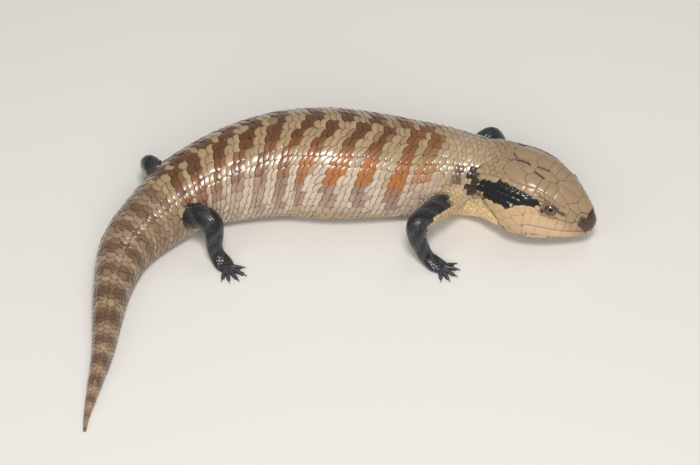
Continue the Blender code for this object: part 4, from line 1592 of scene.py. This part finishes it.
def eye_frame(body, side):
    """Middle of an eye, the way it looks, and the ways forward and up across it."""
    centre = eye_centre(side)
    look = body.normal_at(np.array([23.4]), np.array([side * EYE_ARC / body.girth_at(23.4)]))[0]
    look = unit(look * np.array((1.0, 1.0, 0.75)))
    heading = math.radians(HEAD_HEADING)
    ahead = np.array((math.cos(heading), math.sin(heading), 0.0))
    ahead = unit(ahead - look * ahead.dot(look))
    up = np.cross(look, ahead) * -side
    return centre, look, ahead, up


def build_eyeball(body, side, name, node, material, rng):
    """A wet eyeball with a round pupil, a ringed iris and a slightly raised cornea."""
    centre, look, ahead, up = eye_frame(body, side)
    around = 64
    polar = np.concatenate((np.linspace(0.03, 0.75, 26), np.linspace(0.8, 2.9, 20)))
    turn = np.arange(around) * 2.0 * math.pi / around
    flat = np.sin(polar)[:, None] * EYE_RADIUS
    bulge = 0.28 * (1.0 - fade(polar, 0.0, 0.72))
    radius = (EYE_RADIUS + bulge)[:, None, None]
    out = (
        np.cos(polar)[:, None, None] * look
        + np.sin(polar)[:, None, None] * (np.cos(turn)[:, None] * ahead + np.sin(turn)[:, None] * up)
    )
    points = centre + out * radius
    fibre = 0.5 + 0.5 * np.sin(turn * 17.0 + 2.0 * np.sin(turn * 5.0))
    fibre = 0.6 * fibre + 0.4 * rng.uniform(0.0, 1.0, around)
    warm = 0.5 + 0.5 * np.sin(turn + 0.9)
    iris = blend(tone(80, 72, 56), tone(108, 78, 52), warm)
    iris = iris * (0.65 + 0.5 * fibre)[:, None]
    inner = fade(flat, PUPIL_RADIUS - 0.05, PUPIL_RADIUS + 0.08)
    ring = bump_at(flat, PUPIL_RADIUS + 0.35, 0.3)
    outer = fade(flat, IRIS_RADIUS - 0.45, IRIS_RADIUS)
    beyond = (polar > 1.4)[:, None]
    colours = iris[None] * (0.85 + 0.5 * ring)[..., None]
    colours = blend(colours, tone(28, 20, 14), np.broadcast_to(outer, colours.shape[:2]))
    colours = blend(np.broadcast_to(tone(4, 3, 3), colours.shape), colours,
                    np.broadcast_to(inner, colours.shape[:2]))
    colours = np.where(beyond[..., None], tone(28, 20, 14), colours)
    rows = len(polar)
    front = centre + look * (EYE_RADIUS + 0.28)
    back = centre - look * EYE_RADIUS
    faces = ring_faces(rows, around)
    order = np.concatenate((points.reshape(-1, 3), front[None], back[None]))
    shades = np.concatenate((colours.reshape(-1, 3), tone(4, 3, 3)[None], tone(28, 20, 14)[None]))
    if side > 0:
        faces = [face[:, ::-1] for face in faces]
    eye = make_object(name, order, faces, material, shades)
    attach(eye, "root")
    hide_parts(node)


def lay_lids(coat, skin, body, side, rng):
    """Beaded lids round one eye, from its wet edge out to the skin."""
    centre, look, ahead, up = eye_frame(body, side)
    around = LID_BEADS * 6
    turn = np.arange(around) * 2.0 * math.pi / around
    beads = np.abs(np.sin(0.5 * LID_BEADS * turn))
    rings = ((0.96, 0.1, 0.0), (1.0, 0.35, 0.1), (1.12, 0.75, 0.6), (1.26, 0.62, 1.0),
             (1.36, 0.22, 0.2), (1.5, 0.5, 1.0), (1.68, 0.34, 1.0), (1.8, -0.5, 0.3))
    points = []
    shades = []
    heading = tone(60, 44, 34)
    for reach, rise, rim in rings:
        x = EYE_OPENING[0] * reach * np.cos(turn)
        y = EYE_OPENING[1] * reach * np.sin(turn)
        flat = centre + x[:, None] * ahead + y[:, None] * up
        under = np.sqrt(np.maximum(EYE_RADIUS**2 - x * x - y * y, 0.0))
        heights = np.empty(around)
        for number, point in enumerate(flat):
            start = Vector(point + look * 14.0) * MM
            hit = skin.ray_cast(start, -Vector(look), 0.03)
            heights[number] = 14.0 - hit[3] / MM if hit[0] is not None else 0.0
        level = heights if reach > 1.3 else np.maximum(heights, under)
        lift = rise * (0.72 + 0.28 * beads) if rise > 0.3 else rise
        points.append(flat + look * (level + lift)[:, None])
        arc = side * (EYE_ARC - y)
        full = head_tone(23.4 - x, arc)
        shade = blend(np.broadcast_to(heading, full.shape), full, np.full(around, rim * 0.8))
        shades.append(shade * (0.7 + 0.3 * beads)[:, None])
    inside = centre + look * (EYE_RADIUS - 1.5)
    points.append(np.repeat(inside[None], 2, axis=0))
    shades.append(np.repeat(heading[None], 2, axis=0))
    points = np.concatenate(points)
    shades = np.concatenate(shades)
    k = np.arange(around)
    after = (k + 1) % around
    quads = []
    for ring in range(len(rings) - 1):
        low = ring * around
        high = low + around
        quads.append(np.stack((low + k, low + after, high + after, high + k), axis=1))
    last = (len(rings) - 1) * around
    final = len(rings) * around
    caps = np.stack((last + k, last + after, np.full(around, final)), axis=1)
    start = np.stack((after, k, np.full(around, final + 1)), axis=1)
    faces = [np.concatenate(quads), np.concatenate((caps, start))]
    if side > 0:
        faces = [face[:, ::-1] for face in faces]
    root = np.array((0.02 + 0.96 * 23.4 / 72.0, 0.5 + side * EYE_ARC / 170.0))
    spread = np.stack(((points - centre) @ ahead, (points - centre) @ up), axis=1)
    patches = root + spread * 0.004
    coat.add(points[None], faces, shades[None], patches[None])


# Plates on the front of the snout: corners to the side and up, one half of each
ROSTRAL = ((0.0, 22.9), (2.8, 22.3), (4.5, 20.0), (5.2, 16.6), (5.3, 12.3), (0.0, 11.4))
MENTAL = ((0.0, 11.4), (5.1, 12.1), (4.6, 9.0), (2.6, 7.5), (0.0, 7.0))


def lay_front_plate(coat, skin, half, shade, rng, covered):
    """A plate on the blunt front of the snout, pressed onto the skin from ahead."""
    corners = list(half) + [(-side, up) for side, up in reversed(half) if side > 0.0]
    outline = inward(rounded_outline(corners, 0.5, 0.5), LIP_PLATE[0] / 2)
    middle = outline.mean(axis=0)
    rings = [outline + (middle - outline) * share for share in (0.0, 0.0, 0.05, 0.16, 0.5, 0.75)]
    levels = (-0.35, 0.25, 0.42, 0.5, 0.55, 0.6)
    rims = (0.0, 0.1, 0.7, 1.0, 1.0, 1.0)
    flat = np.concatenate(rings + [middle[None], middle[None]])
    level = np.concatenate((np.repeat(levels, len(outline)), (-0.35, 0.6)))
    rim = np.concatenate((np.repeat(rims, len(outline)), (0.0, 1.0)))
    way = head_point(1.0, 0.0, 0.0) - head_point(0.0, 0.0, 0.0)
    points = []
    for (side, up), height in zip(flat, level):
        start = head_point(-12.0, side, up)
        hit = skin.ray_cast(Vector(start) * MM, Vector(way), 0.03)
        ground = np.array(hit[0]) / MM if hit[0] is not None else head_point(3.0, side, up)
        normal = np.array(hit[1]) if hit[0] is not None else -way
        points.append(ground + normal * height)
    points = np.array(points)
    full = shade * rng.uniform(0.95, 1.05)
    seam = full * 0.4 + SEAM * 0.1
    colours = seam + (full - seam) * rim[:, None]
    patches = np.stack((0.5 + flat[:, 0] * 0.004, 0.002 + 0.0008 * flat[:, 1]), axis=1)
    coat.add(points[None], ring_faces(len(rings), len(outline)), colours[None], patches[None])
    covered.add(points, 0.6)


def surface_material(name, roughness, coat, grain, bump, vary):
    """A glossy horn or skin finish over the mesh's own markings."""
    material = bpy.data.materials.new(name)
    material.use_nodes = True
    nodes = material.node_tree.nodes
    links = material.node_tree.links
    shader = nodes["Principled BSDF"]
    shader.inputs["Coat Weight"].default_value = coat
    shader.inputs["Coat Roughness"].default_value = 0.15
    shader.inputs["IOR"].default_value = 1.5
    place = nodes.new("ShaderNodeTexCoord")
    marks = nodes.new("ShaderNodeAttribute")
    marks.attribute_name = "markings"
    fine = nodes.new("ShaderNodeTexNoise")
    fine.inputs["Scale"].default_value = grain
    fine.inputs["Detail"].default_value = 3.0
    broad = nodes.new("ShaderNodeTexNoise")
    broad.inputs["Scale"].default_value = 160.0
    broad.inputs["Detail"].default_value = 2.0
    links.new(place.outputs["Object"], fine.inputs["Vector"])
    links.new(place.outputs["Object"], broad.inputs["Vector"])
    spread = nodes.new("ShaderNodeMapRange")
    spread.inputs["From Min"].default_value = 0.25
    spread.inputs["From Max"].default_value = 0.75
    spread.inputs["To Min"].default_value = 1.0 - vary
    spread.inputs["To Max"].default_value = 1.0 + vary
    links.new(fine.outputs["Fac"], spread.inputs["Value"])
    tint = nodes.new("ShaderNodeVectorMath")
    tint.operation = "SCALE"
    links.new(marks.outputs["Color"], tint.inputs[0])
    links.new(spread.outputs["Result"], tint.inputs["Scale"])
    links.new(tint.outputs["Vector"], shader.inputs["Base Color"])
    rough = nodes.new("ShaderNodeMapRange")
    rough.inputs["From Min"].default_value = 0.3
    rough.inputs["From Max"].default_value = 0.7
    rough.inputs["To Min"].default_value = roughness - 0.07
    rough.inputs["To Max"].default_value = roughness + 0.09
    links.new(broad.outputs["Fac"], rough.inputs["Value"])
    links.new(rough.outputs["Result"], shader.inputs["Roughness"])
    relief = nodes.new("ShaderNodeBump")
    relief.inputs["Strength"].default_value = 0.5
    relief.inputs["Distance"].default_value = bump
    links.new(fine.outputs["Fac"], relief.inputs["Height"])
    links.new(relief.outputs["Normal"], shader.inputs["Normal"])
    return material


def horn_material():
    """Dark translucent-looking horn of the claws, paler in streaks."""
    material = bpy.data.materials.new("claw_horn")
    material.use_nodes = True
    nodes = material.node_tree.nodes
    links = material.node_tree.links
    shader = nodes["Principled BSDF"]
    shader.inputs["Coat Weight"].default_value = 0.3
    shader.inputs["Roughness"].default_value = 0.3
    place = nodes.new("ShaderNodeTexCoord")
    streaks = nodes.new("ShaderNodeTexNoise")
    streaks.inputs["Scale"].default_value = 900.0
    streaks.inputs["Detail"].default_value = 4.0
    colours = nodes.new("ShaderNodeValToRGB")
    colours.color_ramp.elements[0].color = (0.012, 0.010, 0.009, 1.0)
    colours.color_ramp.elements[1].color = (0.10, 0.075, 0.05, 1.0)
    links.new(place.outputs["Object"], streaks.inputs["Vector"])
    links.new(streaks.outputs["Fac"], colours.inputs["Fac"])
    links.new(colours.outputs["Color"], shader.inputs["Base Color"])
    relief = nodes.new("ShaderNodeBump")
    relief.inputs["Distance"].default_value = 0.00005
    links.new(streaks.outputs["Fac"], relief.inputs["Height"])
    links.new(relief.outputs["Normal"], shader.inputs["Normal"])
    return material


def plain_material(name, colour, roughness):
    """A plain matt finish with a faint unevenness."""
    material = bpy.data.materials.new(name)
    material.use_nodes = True
    nodes = material.node_tree.nodes
    shader = nodes["Principled BSDF"]
    shader.inputs["Base Color"].default_value = (*colour, 1.0)
    shader.inputs["Roughness"].default_value = roughness
    return material


# Camera: what it looks at on the floor, its height above the horizon and distance
CAMERA_TARGET = (0.00135, 0.03415, 0.0)
CAMERA_ELEVATION = 49.0
CAMERA_DISTANCE = 1.10
CAMERA_LENS = 98.43
FRAME_WIDTH = 36.0


def build_camera():
    """The photograph's view, from the right side and above."""
    data = bpy.data.cameras.new("camera")
    data.sensor_width = FRAME_WIDTH
    data.lens = CAMERA_LENS
    data.clip_start = 0.05
    data.clip_end = 20.0
    camera = bpy.data.objects.new("camera", data)
    bpy.context.scene.collection.objects.link(camera)
    elevation = math.radians(CAMERA_ELEVATION)
    back = Vector((0.0, -math.cos(elevation), math.sin(elevation)))
    camera.location = Vector(CAMERA_TARGET) + back * CAMERA_DISTANCE
    camera.rotation_mode = "QUATERNION"
    camera.rotation_quaternion = (-back).to_track_quat("-Z", "Y")
    bpy.context.scene.camera = camera


def area_light(name, azimuth, elevation, distance, size, power, colour):
    """A square soft light aimed at the middle of the animal."""
    data = bpy.data.lights.new(name, "AREA")
    data.size = size
    data.energy = power
    data.color = colour
    light = bpy.data.objects.new(name, data)
    bpy.context.scene.collection.objects.link(light)
    a = math.radians(azimuth)
    e = math.radians(elevation)
    back = Vector((math.sin(a) * math.cos(e), -math.cos(a) * math.cos(e), math.sin(e)))
    light.location = back * distance
    light.visible_glossy = name == "key"
    light.rotation_mode = "QUATERNION"
    light.rotation_quaternion = (-back).to_track_quat("-Z", "Y")


def build_stage():
    """A plain pale floor and soft studio light."""
    mesh = bpy.data.meshes.new("floor")
    half = 4.0
    corners = [(-half, -half, 0.0), (half, -half, 0.0), (half, half, 0.0), (-half, half, 0.0)]
    mesh.from_pydata(corners, [], [(0, 1, 2, 3)])
    mesh.materials.append(plain_material("floor_paper", (0.74, 0.72, 0.69), 0.9))
    floor = bpy.data.objects.new("floor", mesh)
    floor.location.z = -0.00002
    bpy.context.scene.collection.objects.link(floor)
    world = bpy.data.worlds.new("studio")
    world.use_nodes = True
    background = world.node_tree.nodes["Background"]
    background.inputs["Color"].default_value = (1.0, 0.99, 0.97, 1.0)
    background.inputs["Strength"].default_value = 0.27
    bpy.context.scene.world = world
    area_light("key", 9.0, 72.0, 1.3, 0.36, 9.2, (1.0, 0.98, 0.95))
    area_light("front", 6.0, 34.0, 1.5, 0.9, 8.8, (1.0, 0.99, 0.97))
    area_light("fill", -60.0, 35.0, 1.6, 0.9, 3.2, (1.0, 1.0, 1.0))
    area_light("rim", 150.0, 50.0, 1.5, 0.7, 2.1, (1.0, 1.0, 1.0))
    bpy.context.scene.view_settings.view_transform = "Standard"


def flesh_nodes():
    """Names of the solids that the skin stands for."""
    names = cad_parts
    return [name for name in names if not name.startswith(("claw", "eye"))]


def main():
    """Build the animal's looks over the frame, and the stage round it."""
    rng = np.random.default_rng(SEED)
    body = body_form()
    s, v = body.places()
    body.raise_by(head_relief(s, v * body.girth_at(s)))
    limbs = {name: limb_form(limb) for name, limb in LIMBS.items()}
    toes = {
        name: [toe_form(limb, turn, length) for turn, length in limb["toes"]]
        for name, limb in LIMBS.items()
    }
    skin_finish = surface_material("skin_finish", 0.45, 0.1, 2600.0, 0.00004, 0.12)
    scale_finish = surface_material("scale_finish", 0.29, 0.75, 2200.0, 0.00003, 0.09)
    shield_finish = surface_material("shield_finish", 0.3, 0.4, 1800.0, 0.00003, 0.07)
    limb_finish = surface_material("limb_finish", 0.34, 0.4, 2600.0, 0.00003, 0.12)
    skin = build_skin(body, limbs, toes, skin_finish)
    markings = paint_skin(skin, body, limbs, toes)
    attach(skin, "root")
    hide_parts(*flesh_nodes())
    tree = BVHTree.FromObject(skin, bpy.context.evaluated_depsgraph_get())

    covered = Covered()
    for coat in body_coats(tree, body, rng, covered):
        coat.build(scale_finish)
    for coat in limb_coats(tree, limbs, toes, rng, covered):
        coat.build(limb_finish)
    shields = Coat("coat_head_shields", "head_skin")
    outlines = [
        lay_shield(shields, body, corners, kind, rng, covered)
        for corners, kind in head_shields()
    ]
    for half, shade in ((ROSTRAL, SNOUT_BROWN), (MENTAL, LIP_PALE)):
        lay_front_plate(shields, tree, half, shade, rng, covered)
    for side in (-1, 1):
        lay_lids(shields, tree, body, side, rng)
        lay_nostril(shields, body, side)
    fill_plates(shields, body, outlines, rng, covered)
    shields.build(shield_finish)
    small = Coat("coat_head_scales", "head_skin")
    head_fill(small, body, outlines, rng, covered)
    small.build(shield_finish)
    for coat in granule_coats(skin, markings, covered, rng):
        coat.build(scale_finish)

    eye_finish = surface_material("eye_finish", 0.08, 1.0, 3000.0, 0.000002, 0.1)
    for side, label in ((-1, "right"), (1, "left")):
        build_eyeball(body, side, f"eyeball_{label}", f"eye_{label}", eye_finish, rng)
    build_claws(toes, horn_material())
    build_camera()
    build_stage()


main()
